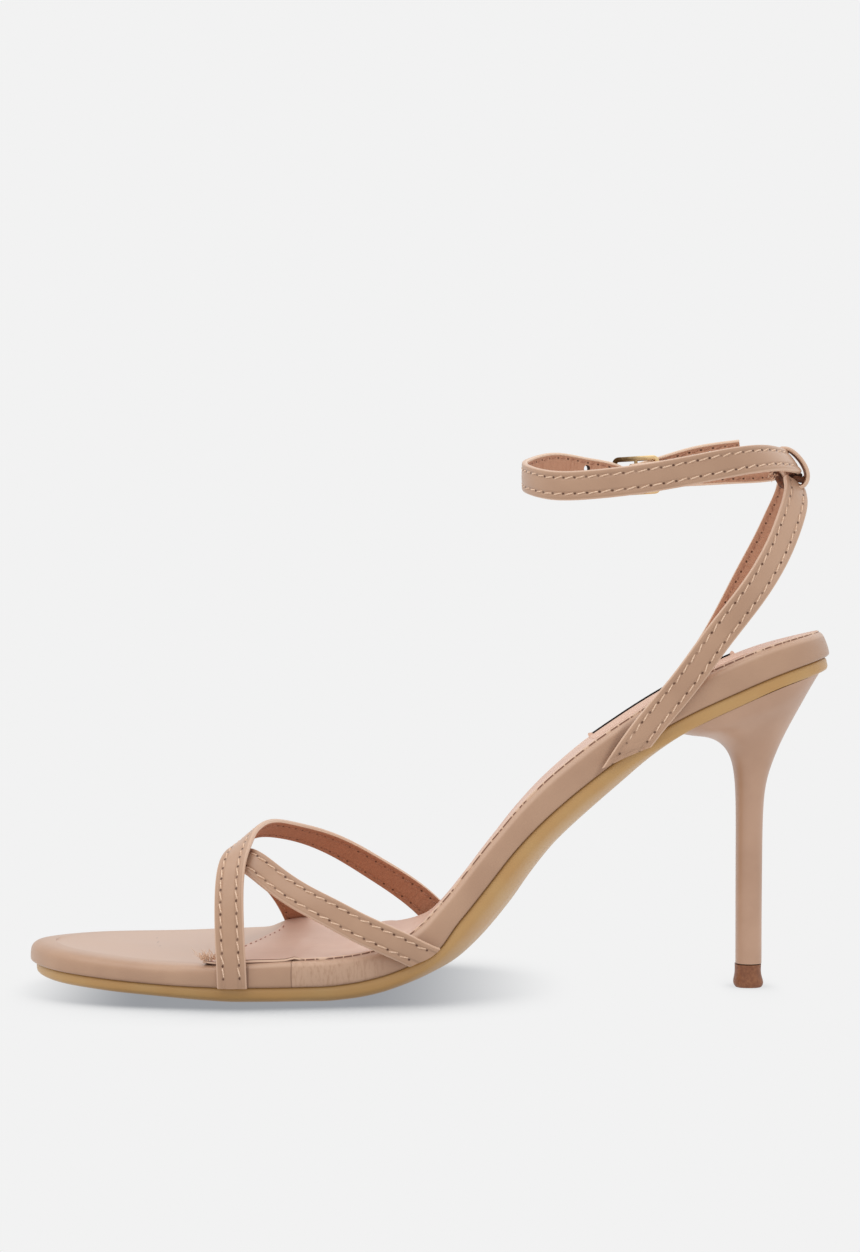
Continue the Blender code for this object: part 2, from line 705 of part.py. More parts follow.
def build():
    clear_scene()
    where = group("ankle_strap_sandal")
    cutters = group("cutters")
    trim = JOIN_UP + SEAT_GAP
    reach = [(-CUT_REACH, lambda x: -CUT_DEPTH), (-CUT_REACH, lambda x: trim)]
    sole_cutter = slab("sole_cutter", reach, lambda x, v: -CUT_DEPTH, lambda x, v: trim, cutters)
    as_cutter(sole_cutter)
    make_outsole(where)
    make_footbed(where)
    make_sock(where)
    make_heel(where)
    stack("heel_tip", [ring(r) for r in TIP_ROWS], where)
    make_vamp(where, cutters, sole_cutter)
    make_sling(where, cutters, sole_cutter)
    make_ankle(where, cutters)
    make_buckle(where, cutters)
    make_prong(where, cutters)
    for ob in where.objects:
        paint(ob, *FINISHES[ob.name])
    stand_on_origin(where, cutters)


build()
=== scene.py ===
# %% [markdown]
# # An ankle strap sandal, dressed on its solid model
# The solid model gives every piece its place and its true size. This lesson
# dresses it: each strap gets its folded edges, its lining and its stitches, the
# padded footbed its wrap, and every piece a finish made from nodes.
# Everything stays in the frame of the solid model, in metres, with the toe
# towards -X, the inner side of the foot towards -Y and the floor at z = 0.

# %% Load the solid model
import math

import bpy
import numpy as np
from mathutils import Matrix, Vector

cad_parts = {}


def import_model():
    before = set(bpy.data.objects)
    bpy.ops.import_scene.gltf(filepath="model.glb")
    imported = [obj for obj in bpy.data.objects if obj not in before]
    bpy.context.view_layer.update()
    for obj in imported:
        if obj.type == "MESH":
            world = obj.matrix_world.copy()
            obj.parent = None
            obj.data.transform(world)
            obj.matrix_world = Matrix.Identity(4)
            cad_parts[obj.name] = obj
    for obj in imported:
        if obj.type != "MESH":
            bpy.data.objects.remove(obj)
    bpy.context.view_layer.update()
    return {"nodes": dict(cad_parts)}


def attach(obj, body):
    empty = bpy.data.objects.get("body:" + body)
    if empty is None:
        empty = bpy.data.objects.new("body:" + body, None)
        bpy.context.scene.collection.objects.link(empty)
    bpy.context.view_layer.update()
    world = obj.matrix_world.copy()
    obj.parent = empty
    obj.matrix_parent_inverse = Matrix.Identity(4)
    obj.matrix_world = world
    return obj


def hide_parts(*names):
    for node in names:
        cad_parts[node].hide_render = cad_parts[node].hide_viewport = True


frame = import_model()
print("nodes:", ", ".join(sorted(frame["nodes"])))

# %% [markdown]
# ## Camera
# The photograph looks square at the inner side from just above the heel seat.
# A camera 0.8 m away and 1.4 degrees up gives the same spread of near and far
# edges. The lens follows from 3.7 pixels for each millimetre at the middle of
# the shoe, on a frame 1252 pixels high.

# %% Camera
MM = 0.001
SHIFT = np.array((-0.5238, -1.3592, 0.0))
DISTANCE = 0.8
TILT = math.radians(1.375)
TARGET = np.array((0.0, 0.0, 97.6))
FRAME_HIGH = 1252
PIXELS_PER_METRE = 3700
SENSOR = 36.0


def world(points):
    """Table millimetres to metres in the frame of the solid model."""
    return (np.asarray(points, float) + SHIFT) * MM


def deselect():
    bpy.ops.object.select_all(action="DESELECT")


deselect()
back = Vector((0, -math.cos(TILT), math.sin(TILT)))
bpy.ops.object.camera_add(location=Vector(world(TARGET)) + back * DISTANCE)
camera = bpy.context.active_object
camera.rotation_mode = "QUATERNION"
camera.rotation_quaternion = (-back).to_track_quat("-Z", "Y")
camera.data.sensor_width = SENSOR
camera.data.lens = PIXELS_PER_METRE * DISTANCE * SENSOR / FRAME_HIGH
bpy.context.scene.camera = camera
print("lens", round(camera.data.lens, 1), "mm")

# %% [markdown]
# ## The form of the sole
# A high sole is easiest to think of as a flat plan that is bent lengthways. One
# table gives the bend and the thicknesses along the foot, the other the plan.
# `column` draws a smooth line through one column without overshooting, and
# `place` puts a point of the plan, at a height square to the sole, in space.

# %% Sole tables
# Station x, height of the seat line, fall to the outer side, footbed top above the line,
# outsole edge and middle below it.
SOLE_ROWS = [
    (-108.4, 6.9, 0.000, 7.2, 2.4, 2.4),
    (-99.0, 6.0, 0.000, 7.2, 2.4, 2.4),
    (-90.0, 5.4, 0.000, 7.2, 2.4, 2.4),
    (-80.0, 4.75, 0.000, 7.2, 2.6, 2.6),
    (-70.0, 4.2, 0.000, 7.3, 2.9, 2.9),
    (-60.0, 3.8, 0.000, 7.6, 3.3, 3.3),
    (-50.0, 3.6, 0.000, 7.8, 3.6, 3.6),
    (-28.0, 3.6, 0.000, 8.2, 3.6, 3.6),
    (-21.0, 3.85, 0.008, 8.2, 3.5, 3.5),
    (-14.0, 4.6, 0.022, 8.1, 3.4, 3.5),
    (-8.0, 5.8, 0.042, 8.0, 3.2, 3.6),
    (-3.0, 7.8, 0.062, 7.9, 3.2, 4.4),
    (3.0, 11.7, 0.088, 7.8, 3.2, 5.6),
    (9.0, 17.6, 0.110, 7.8, 3.2, 6.1),
    (16.0, 26.2, 0.112, 7.8, 3.2, 6.3),
    (23.0, 35.35, 0.103, 7.7, 3.2, 5.9),
    (30.0, 43.15, 0.088, 8.2, 3.1, 5.4),
    (38.0, 50.65, 0.070, 8.7, 3.0, 5.3),
    (47.0, 58.1, 0.055, 8.8, 2.9, 4.9),
    (57.0, 65.7, 0.050, 8.3, 2.7, 4.1),
    (68.0, 72.2, 0.045, 8.6, 2.5, 3.0),
    (80.0, 77.9, 0.040, 9.2, 2.4, 2.4),
    (92.0, 83.1, 0.036, 9.0, 2.3, 2.3),
    (109.2, 89.0, 0.034, 8.0, 2.2, 2.2),
]
# Station x, inner side y, outer side y.
PLAN_ROWS = [
    (-104.3, -15.5, 7.6),
    (-99.0, -22.3, 15.6),
    (-90.0, -28.6, 24.2),
    (-77.0, -33.8, 32.0),
    (-62.0, -37.0, 37.4),
    (-46.0, -37.6, 39.6),
    (-30.0, -35.6, 39.4),
    (-14.0, -31.3, 36.6),
    (2.0, -26.6, 32.4),
    (18.0, -23.2, 28.4),
    (34.0, -21.5, 25.6),
    (50.0, -21.3, 24.2),
    (66.0, -22.3, 23.8),
    (80.0, -22.9, 23.4),
    (93.0, -21.2, 21.3),
    (102.0, -15.8, 15.9),
    (107.4, -8.0, 8.0),
]
TOE_TIP = (-107.8, -4.0)
HEEL_END = (109.2, 0.0)
# Footbed and outsole meet this far above the seat line; lasted straps end just over the joint.
JOIN_UP = 1.2
SEAT_GAP = 0.15
PAD_DISH = -0.3
# Under the inner end of the lower strap the joint sinks: depth, station x, reach.
JOINT_SINK = (1.3, 1.5, 4.5)


# %% Lines through the tables
def unit(vectors):
    """Vectors cut to a length of one."""
    return vectors / np.linalg.norm(vectors, axis=-1)[..., None]


def hump(x, middle, reach, power=2):
    """One at the middle, falling smoothly to zero past the reach."""
    return np.exp(-(((x - middle) / reach) ** power))


def squared_off(v, power):
    """A share from -1 to 1 raised to a power, with its sign kept."""
    return np.sign(v) * np.abs(v) ** power


def column(rows, k):
    """A smooth value along the first column that never overshoots its rows."""
    xs = np.array([r[0] for r in rows])
    ys = np.array([r[k] for r in rows])
    h = np.diff(xs)
    d = np.diff(ys) / h
    m = np.concatenate([d[:1], np.zeros(len(xs) - 2), d[-1:]])
    for i in range(1, len(xs) - 1):
        if d[i - 1] * d[i] > 0:
            w1 = 2 * h[i] + h[i - 1]
            w2 = h[i] + 2 * h[i - 1]
            m[i] = (w1 + w2) / (w1 / d[i - 1] + w2 / d[i])

    def value(x):
        x = np.clip(x, xs[0], xs[-1])
        i = np.clip(np.searchsorted(xs, x) - 1, 0, len(h) - 1)
        s = (x - xs[i]) / h[i]
        a = (1 + 2 * s) * (1 - s) ** 2 * ys[i] + s * s * (3 - 2 * s) * ys[i + 1]
        return a + h[i] * (s * (1 - s) ** 2 * m[i] - s * s * (1 - s) * m[i + 1])

    return value


def smooth_path(points, closed=False):
    """A cubic curve through the points, called with shares from 0 to 1 of its length."""
    p = np.array(points, float)
    if closed:
        p = np.vstack([p, p[:1]])
    h = np.linalg.norm(np.diff(p[:, :3], axis=0), axis=1)
    u = np.concatenate([[0.0], np.cumsum(h)])
    n = len(u)
    a = np.zeros((n, n))
    b = np.zeros_like(p)
    for k in range(1, n - 1):
        a[k, k - 1 : k + 2] = (h[k - 1], 2 * (h[k - 1] + h[k]), h[k])
        b[k] = 6 * ((p[k + 1] - p[k]) / h[k] - (p[k] - p[k - 1]) / h[k - 1])
    a[0, 0] = a[-1, -1] = 1.0
    if closed:
        a[0, 0] = 2 * (h[-1] + h[0])
        a[0, 1] = h[0]
        a[0, n - 2] = h[-1]
        b[0] = 6 * ((p[1] - p[0]) / h[0] - (p[-1] - p[-2]) / h[-1])
        a[-1, 0] = -1.0
    m = np.linalg.solve(a, b)

    def at(shares):
        t = np.asarray(shares, float) * u[-1]
        i = np.clip(np.searchsorted(u, t) - 1, 0, n - 2)
        f = (u[i + 1] - t)[..., None]
        g = (t - u[i])[..., None]
        w = h[i][..., None]
        bent = (m[i] * f**3 + m[i + 1] * g**3) / (6 * w)
        return bent + (p[i] / w - m[i] * w / 6) * f + (p[i + 1] / w - m[i + 1] * w / 6) * g

    at.length = u[-1]
    at.marks = u / u[-1]
    return at


# %% Points on the bent sole
SEAT, FALL, PAD, SOLE_EDGE, SOLE_MID = (column(SOLE_ROWS, k) for k in range(1, 6))
INNER, OUTER = (column(PLAN_ROWS, k) for k in (1, 2))


def slope(x):
    """Angle of the seat line."""
    return np.arctan2(SEAT(x + 0.5) - SEAT(x - 0.5), 1.0)


def place(x, y, t):
    """Points on the bent sole: station x, side y, height t square to the sole."""
    a = slope(x)
    return np.stack([x - t * np.sin(a), y, SEAT(x) - FALL(x) * y + t * np.cos(a)], axis=-1)


def above_seat(p):
    """How far points lie above the seat line."""
    x, y, z = np.moveaxis(p, -1, 0)
    return (z - SEAT(x) + FALL(x) * y) * np.cos(slope(x))


def joint_up(x):
    """Height of the joint between footbed and outsole above the seat line."""
    deep, middle, reach = JOINT_SINK
    return JOIN_UP - deep * hump(x, middle, reach)


print("seat line", round(float(SEAT(HEEL_END[0]))), "mm high at the back")


# %% Plan of the sole
SIDE_STEPS = 190


def plan_points():
    """Points round the plan, the way inwards at each, and the length of the edge."""
    inner = [(x, y) for x, y, _ in PLAN_ROWS]
    outer = [(x, y) for x, _, y in reversed(PLAN_ROWS)]
    path = smooth_path([TOE_TIP] + inner + [HEEL_END] + outer, closed=True)
    heel = path.marks[len(PLAN_ROWS) + 1]
    half = np.arange(SIDE_STEPS) / SIDE_STEPS
    pts = path(np.concatenate([heel * half, heel + (1 - heel) * half]))
    run = unit(np.roll(pts, -1, axis=0) - np.roll(pts, 1, axis=0))
    return pts, np.stack([-run[:, 1], run[:, 0]], axis=1), path.length


PLAN, INWARD, GIRTH = plan_points()
print("edge of the plan:", round(GIRTH), "mm round")

# %% [markdown]
# ## One tool for every bent skin
# Most of a shoe is sheet that is bent or wrapped: a strap, a wall, a heel cover.
# Each starts as a flat grid of faces, like leather on the bench. Its corners are
# moved to rings worked out from the tables, the two long edges are merged, open
# ends are filled, and the normals are turned outwards. The grid keeps its own
# UV map, which carries millimetres along and across the piece for the finish.
# Threads, of which there are hundreds, are made straight from arrays instead.

# %% Wrap a grid
# Corners closer than this (metres) are one; edges bent less than this (degrees) are smooth.
MERGE = 0.000001
SMOOTH = 40


def smooth_edges(angle=SMOOTH):
    bpy.ops.object.shade_smooth_by_angle(angle=math.radians(angle))


def edit_all(*steps):
    """Runs each step in edit mode, with everything selected."""
    bpy.ops.object.mode_set(mode="EDIT")
    for step in steps:
        bpy.ops.mesh.select_all(action="SELECT")
        step()
    bpy.ops.object.mode_set(mode="OBJECT")


def merge_corners():
    bpy.ops.mesh.remove_doubles(threshold=MERGE)


def fill_ends():
    bpy.ops.mesh.fill_holes(sides=0)


def normals_out():
    bpy.ops.mesh.normals_make_consistent(inside=False)


def marks_of(along, across):
    """UV marks of a grid from two arrays that fit its rows and columns."""
    return np.stack(np.broadcast_arrays(along, across), axis=-1)


def skin(name, rings, marks=None, smooth=SMOOTH):
    """A grid wrapped onto rings of points; marks are the UV of each corner."""
    rings = np.asarray(rings, float)
    along, around = rings.shape[:2]
    if marks is None:
        marks = marks_of(np.arange(around)[None], np.arange(along)[:, None])
    deselect()
    bpy.ops.mesh.primitive_grid_add(x_subdivisions=along - 1, y_subdivisions=around - 1, size=2)
    ob = bpy.context.active_object
    ob.name = name
    ob.data.name = name
    flat = np.empty(len(ob.data.vertices) * 3)
    ob.data.vertices.foreach_get("co", flat)
    i = np.rint((flat[0::3] + 1) / 2 * (along - 1)).astype(int)
    j = np.rint((flat[1::3] + 1) / 2 * (around - 1)).astype(int)
    ob.data.vertices.foreach_set("co", world(rings[i, j]).ravel())
    corner = np.empty(len(ob.data.loops), int)
    ob.data.loops.foreach_get("vertex_index", corner)
    uv = np.asarray(marks, float)[i[corner], j[corner]]
    ob.data.uv_layers.active.data.foreach_set("uv", uv.ravel())
    edit_all(merge_corners, fill_ends, normals_out)
    smooth_edges(smooth)
    return ob


# %% Pieces from corners and faces, and rods
def piece_from(name, verts, faces, smooth=False):
    """A piece made straight from its corners and faces."""
    mesh = bpy.data.meshes.new(name)
    mesh.from_pydata(world(verts).tolist(), [], faces)
    mesh.polygons.foreach_set("use_smooth", [smooth] * len(mesh.polygons))
    mesh.update()
    ob = bpy.data.objects.new(name, mesh)
    bpy.context.scene.collection.objects.link(ob)
    return ob


def rod(middle, axis, radius, long):
    """A round rod about its middle, along an axis."""
    turn = Vector(axis).to_track_quat("Z", "Y").to_euler()
    bpy.ops.mesh.primitive_cylinder_add(
        vertices=20, radius=radius * MM, depth=long * MM, location=world(middle), rotation=turn
    )


# %% Give a piece its finish
def dress(ob, node, finish, *replaced):
    """Gives a piece its finish and its place in the frame; node is not used."""
    ob.data.materials.clear()
    ob.data.materials.append(finish)
    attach(ob, "root")
    if replaced:
        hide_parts(*replaced)
    print(ob.name, len(ob.data.polygons), "faces")
    return ob


# %% [markdown]
# ## Finishes
# A finish is a tree of nodes. Sums are written as Python expressions: `Link`
# wraps a socket, and each operator on it adds a Math node. Every other node goes
# through `Finish.node`, which sets the node up first and then feeds its sockets.

# %% Sums and nodes
# Size of a pore in the leather, in millimetres.
PORE = 0.42


def feed(tree, socket, value):
    if isinstance(value, Link):
        tree.links.new(value.socket, socket)
    else:
        socket.default_value = value


class Link:
    """A socket that takes part in sums."""

    def __init__(self, tree, socket):
        self.tree = tree
        self.socket = socket

    def sum_of(self, kind, *terms):
        node = self.tree.nodes.new("ShaderNodeMath")
        node.operation = kind
        for socket, term in zip(node.inputs, terms):
            feed(self.tree, socket, term)
        return Link(self.tree, node.outputs[0])

    def __add__(self, other):
        return self.sum_of("ADD", self, other)

    def __radd__(self, other):
        return self.sum_of("ADD", other, self)

    def __sub__(self, other):
        return self.sum_of("SUBTRACT", self, other)

    def __rsub__(self, other):
        return self.sum_of("SUBTRACT", other, self)

    def __mul__(self, other):
        return self.sum_of("MULTIPLY", self, other)

    def __rmul__(self, other):
        return self.sum_of("MULTIPLY", other, self)

    def __truediv__(self, other):
        return self.sum_of("DIVIDE", self, other)

    def __pow__(self, other):
        return self.sum_of("POWER", self, other)

    def __abs__(self):
        return self.sum_of("ABSOLUTE", self)

    def fraction(self):
        return self.sum_of("FRACT", self)

    def most(self, other):
        return self.sum_of("MAXIMUM", self, other)


# %% A finish
class Finish:
    """A material built on the Principled shader."""

    def __init__(self, name):
        self.material = bpy.data.materials.new(name)
        self.material.use_nodes = True
        self.tree = self.material.node_tree
        self.shader = self.tree.nodes["Principled BSDF"]

    def node(self, kind, settings, sockets, out=0):
        made = self.tree.nodes.new(kind)
        for key, value in settings.items():
            setattr(made, key, value)
        for key, value in sockets.items():
            feed(self.tree, made.inputs[key], value)
        return Link(self.tree, made.outputs[out])

    def spots(self):
        """Places on the piece, in metres."""
        return self.node("ShaderNodeTexCoord", {}, {}, "Object")

    def lengths(self):
        """Millimetres along and across, from the piece's own UV map."""
        apart = {"Vector": self.node("ShaderNodeUVMap", {"uv_map": "UVMap"}, {})}
        return (self.node("ShaderNodeSeparateXYZ", {}, apart, k) for k in "XY")

    def millimetres(self, where):
        """X, Y and Z of a place in millimetres."""
        apart = {"Vector": where}
        return (self.node("ShaderNodeSeparateXYZ", {}, apart, k) / MM for k in "XYZ")

    def noise(self, where, size, detail=2.0, rough=0.5):
        """Soft noise with features of about the given millimetres."""
        sockets = {"Vector": where, "Scale": 1000 / size, "Detail": detail, "Roughness": rough}
        return self.node("ShaderNodeTexNoise", {}, sockets, "Fac")

    def pores(self, where):
        """Fine pores: nought in the middle of each, one between them."""
        sockets = {"Vector": where, "Scale": 1000 / PORE}
        return self.node("ShaderNodeTexVoronoi", {}, sockets, "Distance")

    def clouds(self, where, size, deep, light):
        """Soft clouds of about the given millimetres, and two colours mixed by them."""
        cloudy = self.noise(where, size, 3.0)
        return cloudy, self.mix(self.step(cloudy, 0.3, 0.7), deep, light)

    def step(self, value, low, high, start=0.0, end=1.0):
        """Goes smoothly from start to end while the value goes from low to high."""
        settings = {"interpolation_type": "SMOOTHSTEP"}
        sockets = {"Value": value, "From Min": low, "From Max": high, "To Min": start, "To Max": end}
        return self.node("ShaderNodeMapRange", settings, sockets)

    def mix(self, share, one, two):
        """The first colour where the share is nought, the second where it is one."""
        return self.node("ShaderNodeMix", {"data_type": "RGBA"}, {0: share, 6: one, 7: two}, 2)

    def bump(self, height, depth):
        """A bump whose full height is the given millimetres."""
        sockets = {"Height": height, "Strength": 1.0, "Distance": depth * MM}
        return self.node("ShaderNodeBump", {}, sockets)

    def set(self, **sockets):
        for key, value in sockets.items():
            feed(self.tree, self.shader.inputs[key.replace("_", " ")], value)
        print(self.material.name, len(self.tree.nodes), "nodes")
        return self.material


def tint(red, green, blue):
    """A colour given in the 0 to 255 steps of a screen."""
    steps = [v / 255 for v in (red, green, blue)]
    return (*(v / 12.92 if v < 0.04045 else ((v + 0.055) / 1.055) ** 2.4 for v in steps), 1.0)


# %% [markdown]
# ## Strap leather
# The straps are smooth coated leather, folded round to the back, with a suede
# lining. One finish serves both sides: the UV says how far round the strap a
# point lies, so the lining starts where the fold ends, behind a narrow cream hem.
# Each stitch pulls the leather down into a groove, painted a little darker, and
# leaves a needle hole at either end, painted dark for the shade inside it.

# %% Strap finish
STRAP_WIDTH = 7.6
STRAP_THICK = 1.5
ROW_IN = 1.7
LINING_ROW_IN = 1.45
# The hem beside the lining is wide only on the ankle strap: narrow, wide, heights between them.
HEMS = (0.1, 0.6)
HEM_HEIGHTS = (133, 137)
PITCH = 3.3
LINING_AT = STRAP_WIDTH + STRAP_THICK
# Radius of a needle hole, and how far it is drawn out along the row.
HOLE = 0.26
HOLE_STRETCH = 0.7
NUDE = tint(183, 146, 119)
NUDE_LIGHT = tint(220, 186, 161)
NUDE_DEEP = tint(174, 137, 111)
LINING = tint(186, 132, 104)
LINING_DEEP = tint(162, 107, 80)
LINING_LIT = tint(199, 151, 123)
HEM_CREAM = tint(238, 207, 180)
NEEDLE = tint(112, 74, 55)
# Painted shade inside the needle holes.
HOLE_SHADE = tint(88, 48, 26)


def strap_finish():
    f = Finish("strap_leather")
    where = f.spots()
    along, across = f.lengths()
    x, _, z = f.millimetres(where)
    middle = STRAP_WIDTH / 2
    # Where the lining lies, and how far it is to the nearest row and needle hole.
    to_hem = abs(across - (LINING_AT + middle))
    in_lining = f.step(to_hem - (middle - f.step(z, *HEM_HEIGHTS, *HEMS)), -0.1, 0.05, 1.0, 0.0)
    turned_in = f.step(to_hem, middle - 0.05, middle + 0.25, 1.0, 0.0) * (1 - in_lining)
    outer_row = abs(abs(across - middle) - (middle - ROW_IN))
    inner_row = abs(to_hem - (middle - LINING_ROW_IN))
    to_row = f.mix(in_lining, outer_row, inner_row)
    to_needle = abs((along / PITCH + 0.5).fraction() - 0.5) * PITCH * HOLE_STRETCH
    hole = f.step((to_row * to_row + to_needle * to_needle) ** 0.5, HOLE * 0.5, HOLE * 1.3, 1.0, 0.0)
    hole = hole * f.step(f.noise(where, 5, 1.0), 0.3, 0.55, 0.35, 1.0)
    groove = f.step(to_row, 0.15, 0.75, 1.0, 0.0)
    # The coated face, with painted highlights at the back of the ankle and on the crest over the toes.
    # Painted highlight along the folded edges of the face.
    fold = f.step(abs(across - middle), middle - 0.5, middle - 0.05)
    cloudy, face = f.clouds(where, 14, NUDE_DEEP, NUDE)
    face = f.mix(fold * 0.8, face, NUDE_LIGHT)
    # Painted shade in the grooves along the stitch rows.
    face = f.mix(groove * 0.3, face, NUDE_DEEP)
    highlight_over_toes = f.step(x, -48, -44, 0.3, 0.0) * f.step(z, 32, 42)
    face = f.mix(f.step(x, 78, 96, 0.0, 0.3).most(highlight_over_toes), face, NUDE_LIGHT)
    face = f.mix(turned_in * 0.7, face, HEM_CREAM)
    # The suede of the lining, ribbed across, with painted light that makes it paler higher up.
    nap = f.noise(where, 0.35, 4.0, 0.7)
    ribs = f.node("ShaderNodeCombineXYZ", {}, {"X": along, "Y": across * 0.12})
    ribs = f.node("ShaderNodeTexNoise", {}, {"Vector": ribs, "Scale": 1.6, "Detail": 3.0}, "Fac")
    suede = f.mix(f.step(nap, 0.3, 0.7), LINING_DEEP, LINING)
    suede = f.mix(f.step(z, 60, 120, 0.0, 0.75), suede, LINING_LIT)
    suede = f.mix(f.step(ribs, 0.45, 0.75, 0.0, 0.45), suede, LINING_DEEP)
    # The feet of the slingback are crumpled where they are pulled under the sole.
    pulled = f.step(z, 62, 72, 1.0, 0.0) * f.step(x, 40, 44)
    crumple = f.noise(where, 2.0, 3.0, 0.6) * pulled
    outside = f.pores(where) * 0.12 + cloudy * 0.2 + crumple * 2.4
    height = (1 - in_lining) * outside + in_lining * (nap * 0.4 + ribs * 1.2)
    return f.set(
        Base_Color=f.mix(hole, f.mix(in_lining, face, suede), HOLE_SHADE),
        Roughness=0.34 + in_lining * 0.5 + cloudy * 0.1,
        Coat_Weight=0.15 - in_lining * 0.15,
        Coat_Roughness=0.3,
        Specular_IOR_Level=0.45,
        Normal=f.bump(height - groove * 0.8 - hole * 1.2, 0.18),
    )


STRAP = strap_finish()

# %% [markdown]
# ## Straps
# A strap is a flat strip led along a route. The section goes once round the
# strip: a crowned face that dips under the two rows of stitches, a rounded fold,
# the lining, and the fold back. Straps that are lasted end on the slanting
# underside of the footbed, so each line along the strap is cut there by itself.

# %% Section of a strap
# Across and up, in millimetres for the full thickness; each point also gets its way round the strap.
FACE_HALF = [
    (3.80, 0.30),
    (3.72, 0.56),
    (3.50, 0.74),
    (2.95, 0.82),
    (2.40, 0.76),
    (2.10, 0.68),
    (1.80, 0.75),
    (1.20, 0.84),
]
LINING_HALF = [(3.78, -0.34), (3.60, -0.62), (3.20, -0.73), (2.80, -0.69), (2.40, -0.74), (1.80, -0.75)]
CROWN = 0.88
EDGE_OUT = 3.86


def strap_section():
    half = STRAP_WIDTH / 2
    face = [(-w, t, half - w) for w, t in FACE_HALF] + [(0.0, CROWN, half)]
    face += [(w, t, half + w) for w, t in reversed(FACE_HALF)]
    edge = [(EDGE_OUT, 0.0, STRAP_WIDTH + STRAP_THICK / 2)]
    start = LINING_AT + half
    inside = [(w, t, start - w) for w, t in LINING_HALF] + [(0.0, -STRAP_THICK / 2, start)]
    inside += [(-w, t, start + w) for w, t in reversed(LINING_HALF)]
    other = [(-EDGE_OUT, 0.0, LINING_AT + STRAP_WIDTH + STRAP_THICK / 2)]
    first_across, first_up = FACE_HALF[0]
    close = [(-first_across, first_up, LINING_AT + STRAP_WIDTH + STRAP_THICK)]
    return np.array(face + edge + inside + other + close)


SECTION = strap_section()
print("strap section:", len(SECTION), "points")
RUN_STEP = 0.002
# The cut lies in this share of the length from an end, and is looked for in so many steps.
CUT_REACH = 0.4
CUT_STEPS = 800


# %% Route of a strap
class Route:
    """A strap's way: where it runs, which way is across and which way is out."""

    def __init__(self, rows, side_of, closed=False, tuck=lambda w: 0.0):
        self.path = smooth_path(rows, closed)
        self.tuck = tuck
        self.side_of = side_of
        self.closed = closed
        self.length = self.path.length

    def frame(self, shares):
        s = np.asarray(shares, float)
        wrap = (lambda v: v % 1.0) if self.closed else (lambda v: np.clip(v, 0.0, 1.0))
        q = self.path(s)
        run = unit((self.path(wrap(s + RUN_STEP)) - self.path(wrap(s - RUN_STEP)))[..., :3])
        side = self.side_of(q, run)
        side = unit(side - run * (side * run).sum(axis=-1)[..., None])
        return q, run, side, np.cross(side, run)

    def point(self, shares, w, t):
        q, _, side, out = self.frame(shares)
        thick = q[..., 4:5] / STRAP_THICK if q.shape[-1] > 4 else 1.0
        return q[..., :3] + side * np.asarray(w)[..., None] + out * (np.asarray(t)[..., None] * thick)

    def cut(self, w, at_end):
        """Share of the length where the line w across the strap meets the joint under the footbed."""
        s = np.linspace(0, CUT_REACH, CUT_STEPS)
        s = 1 - s if at_end else s
        p = self.point(s, np.full(len(s), w), np.zeros(len(s)))
        clear = above_seat(p) > joint_up(p[:, 0]) + SEAT_GAP - self.tuck(w)
        return s[np.argmax(clear)]


# %% Make a strap
SPACING = 0.9


def make_strap(name, route, lasted=(False, False), thick=1.0, crumple=None):
    """A strap along its route; lasted says which ends are cut off under the footbed."""
    count = int(route.length / SPACING)
    shares = np.linspace(0, 1, count + 1)
    rings = np.empty((count + 1, len(SECTION), 3))
    marks = np.empty((count + 1, len(SECTION), 2))
    for j, (w, t, round_at) in enumerate(SECTION):
        low = route.cut(w, False) if lasted[0] else 0.0
        high = route.cut(w, True) if lasted[1] else 1.0
        s = low + (high - low) * shares
        rings[:, j] = route.point(s, np.full(len(s), w), np.full(len(s), t * thick))
        marks[:, j, 0] = s * route.length
        marks[:, j, 1] = round_at
    if crumple is not None:
        rings = crumple(rings)
    return skin(name, rings, marks)


# %% [markdown]
# ## Crossed straps over the forefoot
# Two straps cross near the inner side of the ball. The one that starts further
# forward lies on top. The routes follow the solid model within about 3 mm, and
# both turn with the last: the width of a strap lies along a rounded cone over the
# foot, and the upper one twists forwards where it turns over the inner side. The
# lower strap passes further down under the crossing than in the solid model,
# where the two are one body, so that a shadow falls between them.

# %% Forefoot straps
VAMP_OVER = [
    (-50.9, -37.9, 1.0),
    (-51.1, -38.6, 5.5),
    (-51.3, -38.6, 10.2),
    (-51.7, -37.8, 17.1),
    (-52.0, -36.0, 24.5),
    (-52.1, -32.5, 31.0),
    (-51.5, -26.8, 36.8),
    (-49.2, -17.5, 41.0),
    (-46.4, -7.5, 42.8),
    (-43.2, 1.5, 42.7),
    (-38.7, 9.8, 41.3),
    (-32.5, 18.0, 38.9),
    (-24.5, 25.4, 34.7),
    (-15.7, 30.8, 28.9),
    (-7.6, 34.0, 23.3),
    (-1.8, 34.9, 18.6),
    (3.0, 34.2, 13.6),
    (7.1, 32.4, 8.4),
]
VAMP_UNDER = [
    (3.6, -27.3, 9.4),
    (-1.3, -29.3, 11.6),
    (-5.2, -31.1, 13.7),
    (-10.4, -32.8, 16.3),
    (-18.2, -33.4, 19.9),
    (-26.0, -32.6, 23.9),
    (-33.9, -30.6, 27.8),
    (-41.6, -27.2, 32.6),
    (-46.4, -24.8, 35.9),
    (-50.4, -19.4, 37.0),
    (-51.8, -11.0, 35.8),
    (-52.0, -1.0, 34.8),
    (-50.2, 8.0, 33.0),
    (-47.2, 17.0, 30.4),
    (-43.6, 25.0, 26.2),
    (-40.4, 31.8, 21.0),
    (-38.2, 37.4, 15.8),
    (-37.0, 41.0, 11.0),
    (-36.8, 41.3, 6.0),
    (-36.6, 40.8, 1.0),
]
# The cone: half width, height, height of its base, rake.
VAMP_CORE = (38.0, 30.0, 13.0, 0.35)
# The twist of the upper strap: extra rake, side y, reach before and after.
VAMP_TWIST = (0.65, -14.0, 8.0, 20.0)


